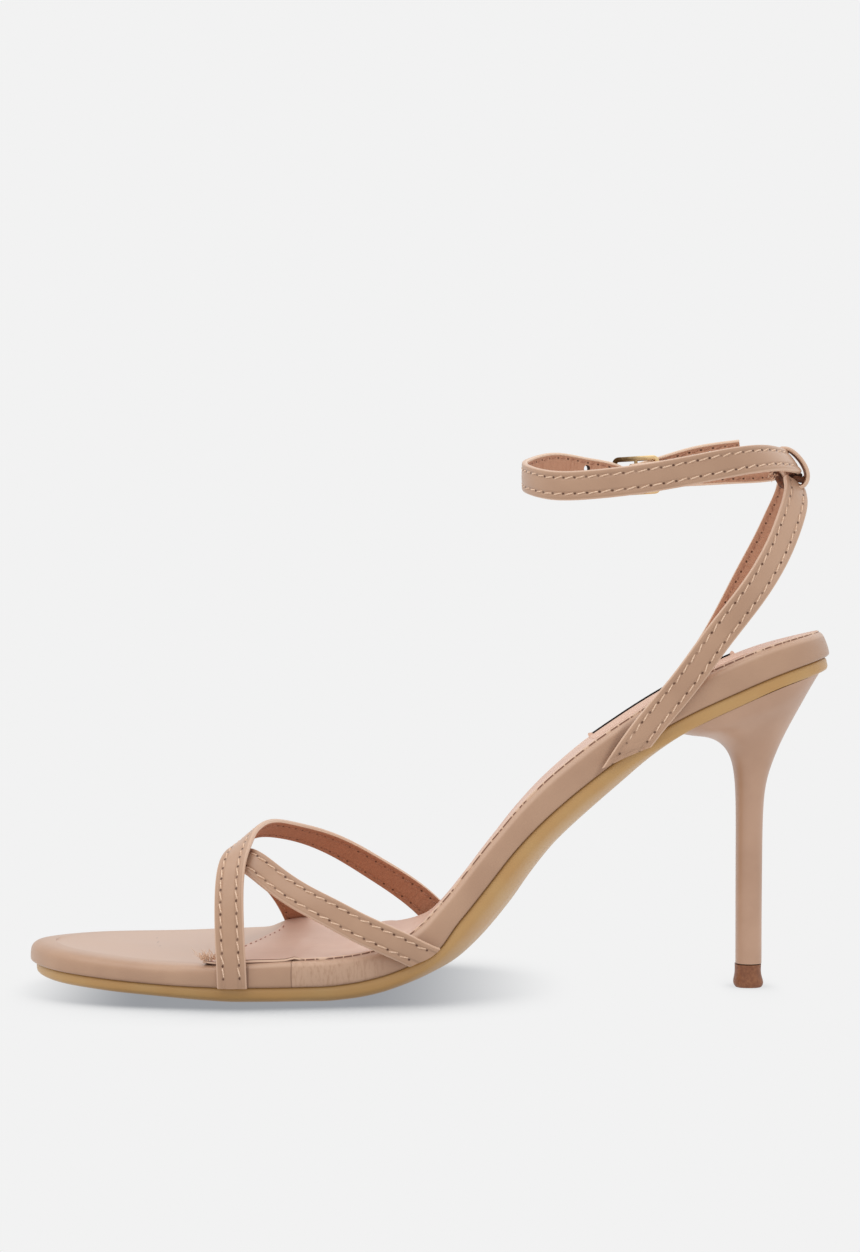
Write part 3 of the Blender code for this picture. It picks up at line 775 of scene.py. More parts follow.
def vamp_side(q, run, extra=0.0):
    half, high, base, rake = VAMP_CORE
    up = np.maximum(q[..., 2] - base, 0.0) / high**2
    return np.cross(run, np.stack([-(rake + extra) * up, q[..., 1] / half**2, up], axis=-1))


def twisted_side(q, run):
    extra, middle, before, after = VAMP_TWIST
    reach = np.where(q[..., 1] < middle, before, after)
    return vamp_side(q, run, extra * hump(q[..., 1], middle, reach))


over = Route(VAMP_OVER, twisted_side)
under = Route(VAMP_UNDER, vamp_side)
for name, route in (("vamp_strap_over", over), ("vamp_strap_under", under)):
    dress(make_strap(name, route, (True, True)), "vamp_straps", STRAP, "vamp_straps")

# %% [markdown]
# ## Slingback
# Two straps climb from the sides of the heel seat and meet behind the ankle in a
# short loop. The loop is a thinner band, turned edge-on in the photograph, and
# the ankle strap is threaded through it.

# %% Slingback straps and loop
SLING_INNER = [
    (46.3, -21.8, 55.3),
    (50.2, -22.8, 61.5),
    (56.2, -23.5, 70.2),
    (66.9, -24.2, 83.4),
    (75.4, -23.9, 95.0),
    (85.5, -21.2, 107.8),
    (92.0, -16.6, 118.0),
    (96.0, -11.2, 126.6),
    (97.9, -6.6, 132.3),
    (98.0, -3.6, 135.2),
    (97.6, -2.4, 136.5),
]
SLING_OUTER = [
    (58.0, 24.4, 61.0),
    (62.2, 25.0, 67.8),
    (67.5, 25.5, 75.4),
    (73.7, 25.8, 84.4),
    (80.6, 24.8, 95.6),
    (88.6, 20.6, 111.7),
    (93.1, 16.0, 121.1),
    (95.8, 11.0, 128.0),
    (97.3, 6.4, 132.8),
    (97.4, 3.6, 135.7),
    (97.1, 2.4, 136.9),
]
# The straps turn their faces backwards from this station x on, at this rate.
SLING_TURN = (78.0, 0.13)
# Loop seen from the side: x, z.
BACK_LOOP = [
    (100.7, 135.5),
    (101.7, 137.4),
    (101.6, 139.2),
    (100.7, 141.3),
    (99.0, 143.5),
    (97.1, 145.0),
    (95.2, 145.5),
    (93.6, 144.9),
    (93.0, 143.4),
    (93.7, 141.3),
    (95.6, 138.3),
    (97.5, 136.0),
    (99.2, 134.9),
]
LOOP_THICK = 1.0
# The loop is pulled a little askew.
LOOP_ACROSS = (0.03, 1.0, 0.01)


def sling_side(q, run):
    start, rate = SLING_TURN
    out = [rate * np.maximum(q[..., 0] - start, 0.0), q[..., 1], np.zeros(q.shape[:-1])]
    return np.cross(run, np.stack(out, axis=-1))


def loop_side(q, run):
    return np.broadcast_to(LOOP_ACROSS, run.shape)


# How far the foot of the inner strap laps over the joint: in its middle, and more from front to back.
FOOT_LAP = (0.75, 3.2)
# Creases in that foot: length, depth. Its front edge stands off: length, height.
PUCKER = (6.0, 0.25)
STAND_OFF = (9.0, 0.8)


def sling_tuck(w):
    """The foot of the inner strap stops short of the joint in front and laps over the sole behind."""
    middle, change = FOOT_LAP
    return middle + w / STRAP_WIDTH * change


def puckered(rings):
    """The foot of the inner strap creases where it is pulled under the sole."""
    reach, depth = PUCKER
    far, high = STAND_OFF
    along = (np.arange(len(rings)) * SPACING)[:, None, None]
    left, right = rings[:, np.argmin(SECTION[:, 0])], rings[:, np.argmax(SECTION[:, 0])]
    across = (right - left)[:, None] / STRAP_WIDTH
    run = np.gradient(rings.mean(axis=1), axis=0)[:, None] / SPACING
    share = (SECTION[:, 0] / SECTION[:, 0].max())[None, :, None]
    crease = np.sin(along * 2.6 + share * 3.0) * np.sin(share * 2.2 + along * 0.9)
    loose = high * hump(along, 0, far) * np.clip(-share, 0, 1)
    return rings + np.cross(across, run) * (depth * hump(along, 0, reach) * crease + loose)


# %% Make the slingback
inner_sling = Route(SLING_INNER, sling_side, tuck=sling_tuck)
outer_sling = Route(SLING_OUTER, sling_side)
loop = Route([(x, 0.0, z) for x, z in BACK_LOOP], loop_side, closed=True)
slings = [
    make_strap("sling_strap_inner", inner_sling, (True, False), crumple=puckered),
    make_strap("sling_strap_outer", outer_sling, (True, False)),
    make_strap("sling_loop", loop, thick=LOOP_THICK / STRAP_THICK),
]
for ob in slings:
    dress(ob, "slingback", STRAP, "slingback")

# %% [markdown]
# ## Ankle strap
# One long strap: folded thin round the centre bar of the buckle, back to the
# loop, round the inner side and the front, and out through the buckle to a free
# tail. It leans outwards where the loop pulls on it. The holes are punched with
# a Boolean, because their rims catch the light.

# %% Ankle strap route
# x, y, z, lean (degrees), thickness.
ANKLE_ROWS = [
    (59.7, 30.2, 138.7, 0.0, 0.8),
    (58.0, 30.2, 138.5, 0.0, 0.8),
    (56.4, 29.0, 138.4, 0.0, 0.8),
    (58.0, 27.8, 138.5, 0.0, 0.8),
    (60.8, 27.2, 138.8, 0.0, 1.1),
    (64.9, 27.0, 139.3, 0.0, 1.5),
    (74.6, 25.4, 139.9, 4.0, 1.5),
    (84.6, 20.9, 140.3, 12.0, 1.5),
    (91.8, 13.4, 140.5, 24.0, 1.5),
    (96.2, 6.0, 141.3, 33.0, 1.5),
    (97.5, 0.0, 141.8, 36.0, 1.5),
    (96.1, -6.4, 142.0, 36.0, 1.5),
    (90.9, -14.6, 142.4, 30.0, 1.5),
    (81.7, -21.6, 141.5, 13.0, 1.5),
    (68.5, -25.9, 139.0, 3.0, 1.5),
    (54.8, -27.2, 136.6, 0.0, 1.5),
    (43.2, -24.8, 135.3, 0.0, 1.5),
    (33.0, -18.8, 135.1, 0.0, 1.5),
    (27.1, -9.8, 136.6, 0.0, 1.5),
    (25.6, 0.6, 138.2, 0.0, 1.5),
    (28.3, 11.0, 139.8, 0.0, 1.5),
    (35.2, 19.4, 141.2, 0.0, 1.5),
    (43.8, 24.8, 140.0, 0.0, 1.5),
    (48.2, 26.6, 139.3, 0.0, 1.5),
    (51.9, 27.3, 138.3, 0.0, 1.5),
    (55.2, 29.8, 137.5, 0.0, 1.5),
    (58.9, 32.0, 138.7, 0.0, 1.5),
    (64.3, 31.2, 140.4, 0.0, 1.5),
    (73.7, 30.4, 143.2, 0.0, 1.5),
    (86.8, 28.8, 145.2, 0.0, 1.5),
]
ANKLE_CENTRE = 61.0
# Past this side y the strap rises by these degrees, as the buckle does.
BUCKLE_SIDE = 26.5
BUCKLE_RISE = 6.0


def ankle_side(q, run):
    lean = np.radians(q[..., 3])
    level = np.zeros(q.shape[:-1])
    away = unit(np.stack([q[..., 0] - ANKLE_CENTRE, q[..., 1], level], axis=-1))
    rise = np.where(q[..., 1] > BUCKLE_SIDE, math.radians(BUCKLE_RISE), 0.0)
    up = np.stack([-np.sin(rise), level, np.cos(lean)], axis=-1)
    return up - away * np.sin(lean)[..., None]


ankle = Route(ANKLE_ROWS, ankle_side)
band = make_strap("ankle_band", ankle)
print("ankle strap", round(ankle.length), "mm long")

# %% Punch the holes
# Shares of the length; the holes lie a little above the middle of the strap.
ANKLE_HOLES = (0.803, 0.832, 0.92, 0.945, 0.965)
HOLE_RADIUS = 1.0
HOLE_UP = 0.7
PUNCH_LONG = 4.0
middles = np.array([ankle.point([s], [HOLE_UP], [0.0])[0] for s in ANKLE_HOLES])
outs = np.array([ankle.frame([s])[3][0] for s in ANKLE_HOLES])
punches = []
for middle, out in zip(middles, outs):
    rod(middle, out, HOLE_RADIUS, PUNCH_LONG)
    punches.append(bpy.context.active_object)
for ob in punches:
    ob.select_set(True)
bpy.ops.object.join()
punch = bpy.context.active_object
deselect()
band.select_set(True)
bpy.context.view_layer.objects.active = band
cut = band.modifiers.new("holes", "BOOLEAN")
cut.operation = "DIFFERENCE"
cut.solver = "EXACT"
cut.object = punch
bpy.ops.object.modifier_apply(modifier=cut.name)
bpy.data.objects.remove(punch, do_unlink=True)
smooth_edges()
dress(band, "ankle_strap", STRAP, "ankle_strap")

# %% Raw leather and painted shade in the holes
# Faces this near a hole that look less than this share along its axis are cut faces.
RAW_NEAR = HOLE_RADIUS + 0.3
RAW_FACING = 0.5


def raw_leather_and_shade():
    f = Finish("raw_leather_and_shade")
    fibre = f.noise(f.spots(), 0.4, 3.0)
    # The cut faces are painted nearly black: the raw leather and the shade inside the holes.
    shade = f.mix(fibre, tint(44, 26, 20), tint(78, 48, 36))
    return f.set(Base_Color=shade, Roughness=0.9, Normal=f.bump(fibre, 0.1))


band.data.materials.append(raw_leather_and_shade())
cut_faces = 0
for face in band.data.polygons:
    away = np.linalg.norm(world(middles) - np.array(face.center), axis=1)
    k = away.argmin()
    if away[k] < RAW_NEAR * MM and abs(outs[k] @ np.array(face.normal)) < RAW_FACING:
        face.material_index = 1
        cut_faces += 1
print(cut_faces, "faces of raw leather in the holes")

# %% [markdown]
# ## Stitches
# Each stitch is a short thread that dips into its two needle holes. One is made
# from a sphere, drawn long and bent down at its ends. Copies are laid along each
# row and joined into one piece, because hundreds of objects would be slow.

# %% One stitch
STITCH_LONG = 3.0
STITCH_WIDE = 0.42
STITCH_HIGH = 0.4
# How far the ends dip, how blunt they are, and how far the thread lies aslant (degrees).
STITCH_DIP = 0.24
STITCH_BLUNT = 0.7
STITCH_SLANT = 12.0
deselect()
bpy.ops.mesh.primitive_uv_sphere_add(segments=8, ring_count=6, radius=0.5, rotation=(0, math.pi / 2, 0))
bpy.ops.object.transform_apply(location=True, rotation=True, scale=True)
one = bpy.context.active_object
ball = np.array([v.co for v in one.data.vertices])
ball_faces = [tuple(p.vertices) for p in one.data.polygons]
bpy.data.objects.remove(one, do_unlink=True)
blunt = squared_off(ball[:, 0] * 2, STITCH_BLUNT)
high = ball[:, 2] * STITCH_HIGH - STITCH_DIP * blunt**4
STITCH = np.stack([blunt * STITCH_LONG / 2, ball[:, 1] * STITCH_WIDE, high], axis=1)
slant = math.radians(STITCH_SLANT)
turn = np.array([(math.cos(slant), math.sin(slant)), (-math.sin(slant), math.cos(slant))])
STITCH[:, :2] = STITCH[:, :2] @ turn
print("one stitch:", len(STITCH), "corners")
# Each stitch lies a little aside and askew.
STITCH_LOOSE = 0.05


def lay_stitches(name, seats, finish, node, size=1.0):
    """Joins a copy of the stitch at each seat: a point, the way along and the way out."""
    verts = []
    faces = []
    hand = np.random.default_rng(4)
    for k, (q, run, out) in enumerate(seats):
        across = np.cross(out, run)
        run = run + across * hand.normal(0, STITCH_LOOSE)
        axes = np.stack([run, across, out])
        verts.append(np.asarray(q) + across * hand.normal(0, STITCH_LOOSE) + STITCH * size @ axes)
        faces += [tuple(v + k * len(STITCH) for v in f) for f in ball_faces]
    print(name, len(seats), "stitches")
    dress(piece_from(name, np.concatenate(verts), faces, smooth=True), node, finish)


# %% Thread finishes
def thread_finish(name, light, dark):
    f = Finish(name)
    strands = f.noise(f.spots(), 0.25, 1.0)
    shade = f.mix(f.step(strands, 0.35, 0.65), dark, light)
    return f.set(Base_Color=shade, Roughness=0.7, Normal=f.bump(strands, 0.05))


CREAM_THREAD = thread_finish("cream_thread", tint(240, 210, 184), tint(208, 172, 144))
LINING_THREAD = thread_finish("lining_thread", tint(184, 132, 106), tint(150, 100, 78))


# %% Rows of stitches on the straps
# Height of the rows over the middle of the strap, and the size of a lining stitch.
FACE_ROW = 0.74
LINING_ROW = -0.76
LINING_STITCH = 0.8


def strap_seats(route, low, high, up, lasted=(False, False), bare=()):
    """Seats of both rows; bare holds stretches without stitches, as shares of the length."""
    seats = []
    row = STRAP_WIDTH / 2 - (ROW_IN if up > 0 else LINING_ROW_IN)
    for w in (-row, row):
        first = max(low, route.cut(w, False) if lasted[0] else 0.0) * route.length
        last = min(high, route.cut(w, True) if lasted[1] else 1.0) * route.length
        for k in range(int(first / PITCH) + 1, int(last / PITCH)):
            s = (k + 0.5) * PITCH / route.length
            if any(a < s < b for a, b in bare):
                continue
            _, run, _, out = (v[0] for v in route.frame([s]))
            seats.append((route.point([s], [w], [up])[0], run, out if up > 0 else -out))
    return seats


# Route, the shares of its length between which it is sewn, and its lasted ends.
ROWS = [
    (over, 0.0, 1.0, (True, True)),
    (under, 0.0, 1.0, (True, True)),
    (inner_sling, 0.0, 0.97, (True, False)),
    (outer_sling, 0.0, 0.97, (True, False)),
    (ankle, 0.12, 1.0, (False, False)),
]
# No stitches show on the face where the ankle strap turns inside the loop.
BARE = {ankle: [ankle.path.marks[[9, 11]]]}
face_seats = []
lining_seats = []
for route, low, high, ends in ROWS:
    face_seats += strap_seats(route, low, high, FACE_ROW, ends, BARE.get(route, ()))
    lining_seats += strap_seats(route, low, high, LINING_ROW, ends)
lay_stitches("strap_stitches", face_seats, CREAM_THREAD, "vamp_straps")
lay_stitches("lining_stitches", lining_seats, LINING_THREAD, "vamp_straps", LINING_STITCH)

# %% [markdown]
# ## Plates cut to the plan
# The outsole, the footbed and the sock share one plan. Each is a profile that
# starts at the middle of the underside, runs out to the edge, up the wall and
# back in to the middle of the top, and that profile is carried round the plan.
# Lines from both sides meet on the spine of the plate and are merged there.

# %% Plate tool
# The curve of a wall is drawn at this height in millimetres.
WALL_HIGH = 8
# How far rows lie inwards from the edge, as shares of the way to the spine.
INWARD_SHARES = np.array((0.02, 0.05, 0.1, 0.17, 0.26, 0.36, 0.48, 0.6, 0.72, 0.84, 0.93, 1.0))


def plate(name, wall, height, low, high):
    """A plate from the insets and height shares of its wall.

    height gives the wall at x, y and share; low and high give the faces at x, share across and y.
    """
    n = len(PLAN)
    partner = (n - np.arange(n)) % n

    def chord(inset, f, face):
        edge = PLAN + inset * INWARD
        x, y = (edge + (edge[partner] - edge) / 2 * f).T
        return place(x, y, face(x, 1 - f, y))

    rows = [chord(wall[0][0], f, low) for f in INWARD_SHARES[::-1]]
    for inset, share in wall:
        x, y = (PLAN + inset * INWARD).T
        rows.append(place(x, y, height(x, y, share)))
    rows += [chord(wall[-1][0], f, high) for f in INWARD_SHARES]
    rings = np.stack(rows)
    rings = np.concatenate([rings, rings[:, :1]], axis=1)
    levels = np.concatenate([-INWARD_SHARES[::-1], [s for _, s in wall], 1 + INWARD_SHARES])
    return skin(name, rings, marks_of(np.linspace(0, GIRTH, n + 1), levels[:, None]))


def fine(wall, steps):
    """More rows along a wall given as inset and height share, on a smooth curve."""
    path = smooth_path([(i, s * WALL_HIGH, 0.0) for i, s in wall])
    p = path(np.linspace(0, 1, steps))
    return [(i, min(max(s / WALL_HIGH, 0.0), 1.0)) for i, s, _ in p]


# %% [markdown]
# ## Footbed
# A padded board wrapped in the same leather as the straps. The wrap is pulled
# down round the edge, so the wall bulges slightly and the top edge is round. On
# the inner side the wrap is closed by one upright seam.

# %% Footbed
JOINT = 0.03
WRAP_SEAM = -35.9
# Small scuffs on the toe: x, y, half length.
SCUFFS = [(-74.6, 3.0, 3.2), (-75.6, 11.0, 1.6), (-73.4, -4.0, 1.2)]
# Painted shadow on the wall beside the inner strap feet: x at the joint, lean over the wall, reach,
# strength.
STRAP_SHADES = [(-47.3, 0.0, 0.7, 0.6), (45.2, 8.4, 3.6, 0.35)]
# Where the far ends of the straps swell the edge of the bed: x, y, reach along and across, height.
SWELLS = [(-37.0, 37.0, 6.5, 13.0, 1.9), (-5.0, 34.0, 9.0, 16.0, 1.5)]
# The toe has a rounder edge and a lower inner side, the back end is square:
# station x, roundness, drop of the inner edge, cut back.
RIM_ROWS = [
    (-108.4, 2.3, 0.2, 0.0),
    (-90.0, 2.3, 0.5, 0.0),
    (-70.0, 2.2, 0.75, 0.0),
    (-57.0, 1.5, 0.75, 0.0),
    (-45.0, 1.0, 0.3, 0.0),
    (-30.0, 1.0, 0.0, 0.0),
    (98.0, 1.0, 0.0, 0.0),
    (105.0, 0.7, 0.0, 0.3),
    (109.2, 0.5, 0.0, 0.7),
]
RIM_ROUND, RIM_DROP, RIM_CUT = (column(RIM_ROWS, k) for k in (1, 2, 3))
WIDEST = 0.42
# Inset and height share, from the joint to the top.
FOOTBED_WALL = [
    (0.8, 0.0),
    (0.38, 0.03),
    (0.1, 0.14),
    (0.0, WIDEST),
    (0.1, 0.66),
    (0.4, 0.81),
    (0.95, 0.92),
    (1.75, 0.98),
    (2.8, 1.0),
]
TOE_SHEEN = tint(200, 168, 147)


# %% Form of the footbed
def uneven(x, y):
    """How far the edge of the bed stands above or below its even height."""
    up = -RIM_DROP(x) * np.clip(y / INNER(x), 0, 1)
    for cx, cy, long, wide, high in SWELLS:
        up = up + high * hump(x, cx, long, 4) * np.clip(1 - (cy - y) / wide, 0, 1) ** 2
    return up


def wall_inset(inset, share):
    """Insets round the plan: above its widest line the wall curves in more at the toe than at the back."""
    x = PLAN[:, 0]
    return (inset * (RIM_ROUND(x) if share > WIDEST else 1.0) + RIM_CUT(x))[:, None]


def wrap_foot(x, *_):
    return joint_up(x) + JOINT


def wrap_height(x, y, share):
    foot = wrap_foot(x)
    return foot + share * (PAD(x) - foot) + share**3 * uneven(x, y)


def pad_top(x, v, y):
    return PAD(x) + PAD_DISH * (1 - v * v) + uneven(x, y)


# %% Footbed leather
def wall_leather():
    f = Finish("wrap_leather")
    where = f.spots()
    _, level = f.lengths()
    x, y, _ = f.millimetres(where)
    upright = f.node("ShaderNodeVectorMath", {"operation": "MULTIPLY"}, {0: where, 1: (1.0, 1.0, 0.22)})
    grain = f.noise(upright, 0.7, 3.0, 0.65)
    inner = f.step(y, -6.0, -4.0, 1.0, 0.0)
    past = x - (WRAP_SEAM + SHIFT[0])
    seam = f.step(abs(past + (grain - 0.5) * 0.3), 0.04, 0.2, 1.0, 0.0) * inner
    behind = f.step(past, -0.1, 0.4) * f.step(x, -20.0, -8.0, 1.0, 0.0) * inner
    mark = 0.0
    for mx, my, long in SCUFFS:
        away = (((x - mx) / 0.35) ** 2.0 + ((y - my) / long) ** 2.0) ** 0.5
        mark = f.step(away + grain * 0.6, 0.8, 1.3, 1.0, 0.0) + mark
    # Painted shadow beside the inner strap feet.
    shade = 0.0
    for sx, lean, reach, strength in STRAP_SHADES:
        away = abs(x - (sx + SHIFT[0]) - level * lean) / reach
        shade = f.step(away, 0.3, 1.0, strength, 0.0) + shade
    shade = shade * inner * f.step(level, 0.85, 1.0, 1.0, 0.0)
    foot = f.step(level, 0.0, 0.06, 1.0, 0.0)
    cloudy, face = f.clouds(where, 16, NUDE_DEEP, NUDE)
    # Painted sheen: the top of the wrap is paler.
    face = f.mix(f.step(level, 0.9, 1.1, 0.0, 0.6), face, TOE_SHEEN)
    # Painted highlight on the rounded top edge of the wall, from the ball back.
    roll = f.step(level, 0.74, 0.86) * f.step(level, 0.98, 1.0, 0.35, 0.0) * f.step(x, -80, -50)
    face = f.mix(roll, face, NUDE_LIGHT)
    face = f.mix(behind * f.step(grain, 0.45, 0.7, 0.3, 0.0), face, NUDE_LIGHT)
    face = f.mix((seam * 0.45).most(foot * 0.3).most(mark * 0.3).most(shade), face, NEEDLE)
    height = f.pores(where) * 0.12 + cloudy * 0.2 + behind * grain * 0.8 - seam * 0.5
    return f.set(
        Base_Color=face,
        Roughness=0.34 + cloudy * 0.1,
        Coat_Weight=0.2,
        Coat_Roughness=0.3,
        Specular_IOR_Level=0.45,
        Normal=f.bump(height, 0.2),
    )


WRAP = wall_leather()


# %% Make the footbed
wall = [(wall_inset(i, s), s) for i, s in fine(FOOTBED_WALL, 24)]
footbed = plate("footbed_wrap", wall, wrap_height, wrap_foot, pad_top)
dress(footbed, "footbed", WRAP, "footbed")

# %% [markdown]
# ## Outsole
# One sheet of sole rubber, thicker under the middle of the arch, where its edge
# rounds off into a belly. It is tan, a little glossy, and darkest in the joint
# under the footbed.

# %% Outsole
# Inset and height share, from the joint to the underside.
OUTSOLE_WALL = [(1.5, 0.0), (1.28, 0.08), (1.2, 0.45), (1.5, 0.7), (2.6, 0.9), (5.0, 1.0)]
LEAST_INSET, LEAST_AT = min(OUTSOLE_WALL)
# The tread turns up a little towards its edge under the ball: height, station x, reach.
TURN_UP = (0.8, -50.0, 30.0)
# Station x, how round the lower edge is, how far the ends are cut back.
EDGE_ROWS = [
    (-108.4, 1.0, 0.8),
    (-98.0, 1.0, 0.3),
    (-80.0, 1.0, 0.0),
    (-20.0, 1.0, 0.0),
    (5.0, 2.0, 0.0),
    (45.0, 2.0, 0.0),
    (62.0, 0.5, 0.0),
    (72.0, 0.3, 0.0),
    (95.0, 0.3, 0.0),
    (104.0, 0.3, 0.4),
    (109.2, 0.3, 1.0),
]
ROUND, CUT_BACK = (column(EDGE_ROWS, k) for k in (1, 2))
SOLE_TAN = tint(186, 142, 86)
SOLE_PALE = tint(189, 149, 94)
SOLE_DARK = tint(122, 86, 56)


# %% Form of the outsole
def tread_edge(x):
    high, middle, reach = TURN_UP
    return SOLE_EDGE(x) - high * hump(x, middle, reach, 4)


def belly(x, y):
    """How far the underside hangs below its edge."""
    across = y / np.where(y > 0, OUTER(x), INNER(x))
    return (SOLE_MID(x) - tread_edge(x)) * (1 - np.clip(across, 0, 1) ** 2)


def sole_under(x, v, y):
    return -tread_edge(x) - belly(x, y)


def sole_inset(inset, share):
    """Insets round the plan: the lower edge is round under the arch and square under the heel seat."""
    x = PLAN[:, 0]
    rounding = (inset - LEAST_INSET) * (ROUND(x) - 1) if share > LEAST_AT else 0.0
    return (inset + rounding + CUT_BACK(x))[:, None]


def sole_joint(x, *_):
    return joint_up(x) - JOINT


def sole_height(x, y, share):
    joint = sole_joint(x)
    return joint - share * (tread_edge(x) + joint) - share**4 * belly(x, y)


# %% Outsole rubber
def sole_rubber():
    f = Finish("sole_rubber")
    where = f.spots()
    _, level = f.lengths()
    cloudy = f.noise(where, 12, 3.0)
    grit = f.noise(where, 0.6, 3.0, 0.6)
    face = f.mix(f.step(cloudy, 0.3, 0.75), SOLE_TAN, SOLE_PALE)
    joint = f.step(level, 0.02, 0.1, 1.0, 0.0)
    return f.set(
        Base_Color=f.mix(joint * 0.55, face, SOLE_DARK),
        Roughness=0.36 + grit * 0.12,
        Coat_Weight=0.15,
        Coat_Roughness=0.25,
        Specular_IOR_Level=0.45,
        Normal=f.bump(grit * 0.08 + cloudy * 0.4, 0.12),
    )


SOLE = sole_rubber()


# %% Make the outsole
wall = [(sole_inset(i, s), s) for i, s in fine(OUTSOLE_WALL, 18)]
outsole = plate("outsole_sheet", wall, sole_height, sole_joint, sole_under)
dress(outsole, "outsole", SOLE, "outsole")

# %% [markdown]
# ## Sock
# A thin satin sheet cemented on the footbed. It ends behind the toes in a
# slanting cut, which the plate gets from a bisect. Soft creases cross it where
# the ball of the foot bends it; each is a trough placed one by one.

# %% Sock
SOCK_INSET = 1.7
SOCK_THICK = 0.4
SOCK_SUNK = 0.25
SOCK_FRONT = [(-58.9, -36.0), (-41.0, 37.0)]
# Creases: x and y of the middle, half length, half width, depth, turn from crosswise (degrees).
SOCK_CREASES = [
    (-40.0, 8.0, 20.0, 1.6, 0.22, 12.0),
    (-33.0, -6.0, 18.0, 1.8, 0.28, -8.0),
    (-26.0, 6.0, 22.0, 1.5, 0.24, 6.0),
    (-19.0, -10.0, 16.0, 1.7, 0.25, -14.0),
    (-12.0, 4.0, 20.0, 1.6, 0.20, 4.0),
    (-4.0, -6.0, 16.0, 1.8, 0.18, -6.0),
]
# Beside each crease the sheet rises half as far, this many half widths from its middle.
CREASE_BANK = 1.6
# The loose inner front corner: height, reach.
CORNER_LIFT = (0.8, 9.0)
# Waves of the loose inner edge: x of the crest, half length, height.
EDGE_WAVES = [(-47.5, 6.0, 0.5), (-35.2, 1.5, 1.0), (-27.0, 6.0, 0.3)]
EDGE_REACH = 6.0
# The raw inner edge beside the upper strap is thicker: station x, reach, extra height.
RAW_EDGE = (-46.0, 11.0, 0.75)
# Length over which the front edge is pared, and the share of the thickness left there.
FRONT_TAPER = 4.0
PARED = 0.3
SOCK_PINK = tint(218, 184, 165)
SOCK_DEEP = tint(210, 174, 155)
SOCK_EDGE = tint(226, 194, 168)
SOCK_LINE = tint(120, 78, 62)
SEAT_PITCH = 2.7


# %% Form of the sock
def creased(x, y):
    down = np.zeros_like(x)
    for cx, cy, long, wide, depth, turn in SOCK_CREASES:
        a = math.radians(turn)
        across = (x - cx) * math.cos(a) + (y - cy) * math.sin(a)
        along = (y - cy) * math.cos(a) - (x - cx) * math.sin(a)
        bend = across / wide
        banks = hump(bend, CREASE_BANK, 1) + hump(bend, -CREASE_BANK, 1)
        down += depth * hump(along, 0, long, 4) * (hump(bend, 0, 1) - 0.5 * banks)
    return down


def at_corner(x, y):
    """One at the inner front corner of the sock, falling to zero."""
    corner_x, corner_y = SOCK_FRONT[0]
    return np.clip(1 - np.hypot(x - corner_x, y - corner_y) / CORNER_LIFT[1], 0, 1)


def at_inner_edge(x, y):
    """One at the inner edge of the sole, falling to zero."""
    return np.clip(1 - (y - INNER(x)) / EDGE_REACH, 0, 1) ** 2


def lifted(x, y):
    """The inner front corner has come loose, and the edge behind it lies in waves."""
    waves = sum(high * hump(x, crest, long) for crest, long, high in EDGE_WAVES)
    return CORNER_LIFT[0] * at_corner(x, y) ** 2 + waves * at_inner_edge(x, y)


def sheet(x, y):
    """Height of the sock over the pad: pared thin towards its front edge, except at the loose corner."""
    (ax, ay), (bx, by) = SOCK_FRONT
    behind = ((x - ax) * (by - ay) - (y - ay) * (bx - ax)) / math.hypot(bx - ax, by - ay)
    middle, reach, extra = RAW_EDGE
    raw = extra * hump(x, middle, reach, 4) * at_inner_edge(x, y)
    return SOCK_THICK * np.maximum(np.clip(behind / FRONT_TAPER, PARED, 1), at_corner(x, y)) + raw


def sock_base(x, v, y):
    return pad_top(x, v, y) - SOCK_SUNK + lifted(x, y)


def sock_height(x, y, share):
    return sock_base(x, 1, y) + (SOCK_SUNK + sheet(x, y)) * share


def sock_top(x, v, y):
    """The creases fade towards the edges and where the sheet is pared."""
    thick = sheet(x, y)
    soft = np.clip((1 - abs(v)) * 8, 0, 1) * np.clip((thick / SOCK_THICK - PARED) / (1 - PARED), 0, 1)
    return sock_base(x, v, y) + SOCK_SUNK + thick - creased(x, y) * soft


# %% Sock satin
def sock_satin():
    f = Finish("sock_satin")
    where = f.spots()
    along, level = f.lengths()
    x, _, _ = f.millimetres(where)
    _, face = f.clouds(where, 18, SOCK_DEEP, SOCK_PINK)
    weave = f.noise(where, 0.5, 3.0, 0.6)
    soft = f.noise(where, 5, 2.0)
    edge = f.step(level, 0.92, 1.0, 1.0, 0.0)
    # Stitches along the edge behind the crossing, and in front of it a raw edge with a brown line along its
    # top and painted shade of the gap along its foot.
    dash = f.step(abs((along / SEAT_PITCH).fraction() - 0.5), 0.4, 0.48, 1.0, 0.0) * f.step(x, -35, -33)
    dash = dash * f.step(level, 0.55, 0.72, 1.0, 0.0) * f.step(f.noise(where, 3.5, 1.0), 0.38, 0.46)
    rim_and_gap_shade = f.step(level, 0.68, 0.76) * f.step(level, 0.92, 0.98, 1.0, 0.0)
    rim_and_gap_shade = rim_and_gap_shade.most(f.step(level, 0.16, 0.26, 1.0, 0.0)) * f.step(x, -36, -33, 1.0, 0.0)
    raw = f.mix(dash.most(rim_and_gap_shade), SOCK_EDGE, SOCK_LINE)
    return f.set(
        Base_Color=f.mix(edge * 0.9, face, raw),
        Roughness=0.46 + weave * 0.15,
        Coat_Weight=0.05,
        Coat_Roughness=0.3,
        Specular_IOR_Level=0.35,
        Normal=f.bump(weave * 0.12 + soft * 0.8, 0.2),
    )


# %% Make the sock
SOCK_WALL = [(0.0, 0.0), (-0.06, 0.5), (0.06, 0.9), (0.3, 1.0)]
wall = [(SOCK_INSET + i, s) for i, s in SOCK_WALL]
sock = plate("sock_sheet", wall, sock_height, sock_base, sock_top)
front, other = (world((x, y, 0)) for x, y in SOCK_FRONT)
ahead = Vector((front[1] - other[1], other[0] - front[0], 0)).normalized()


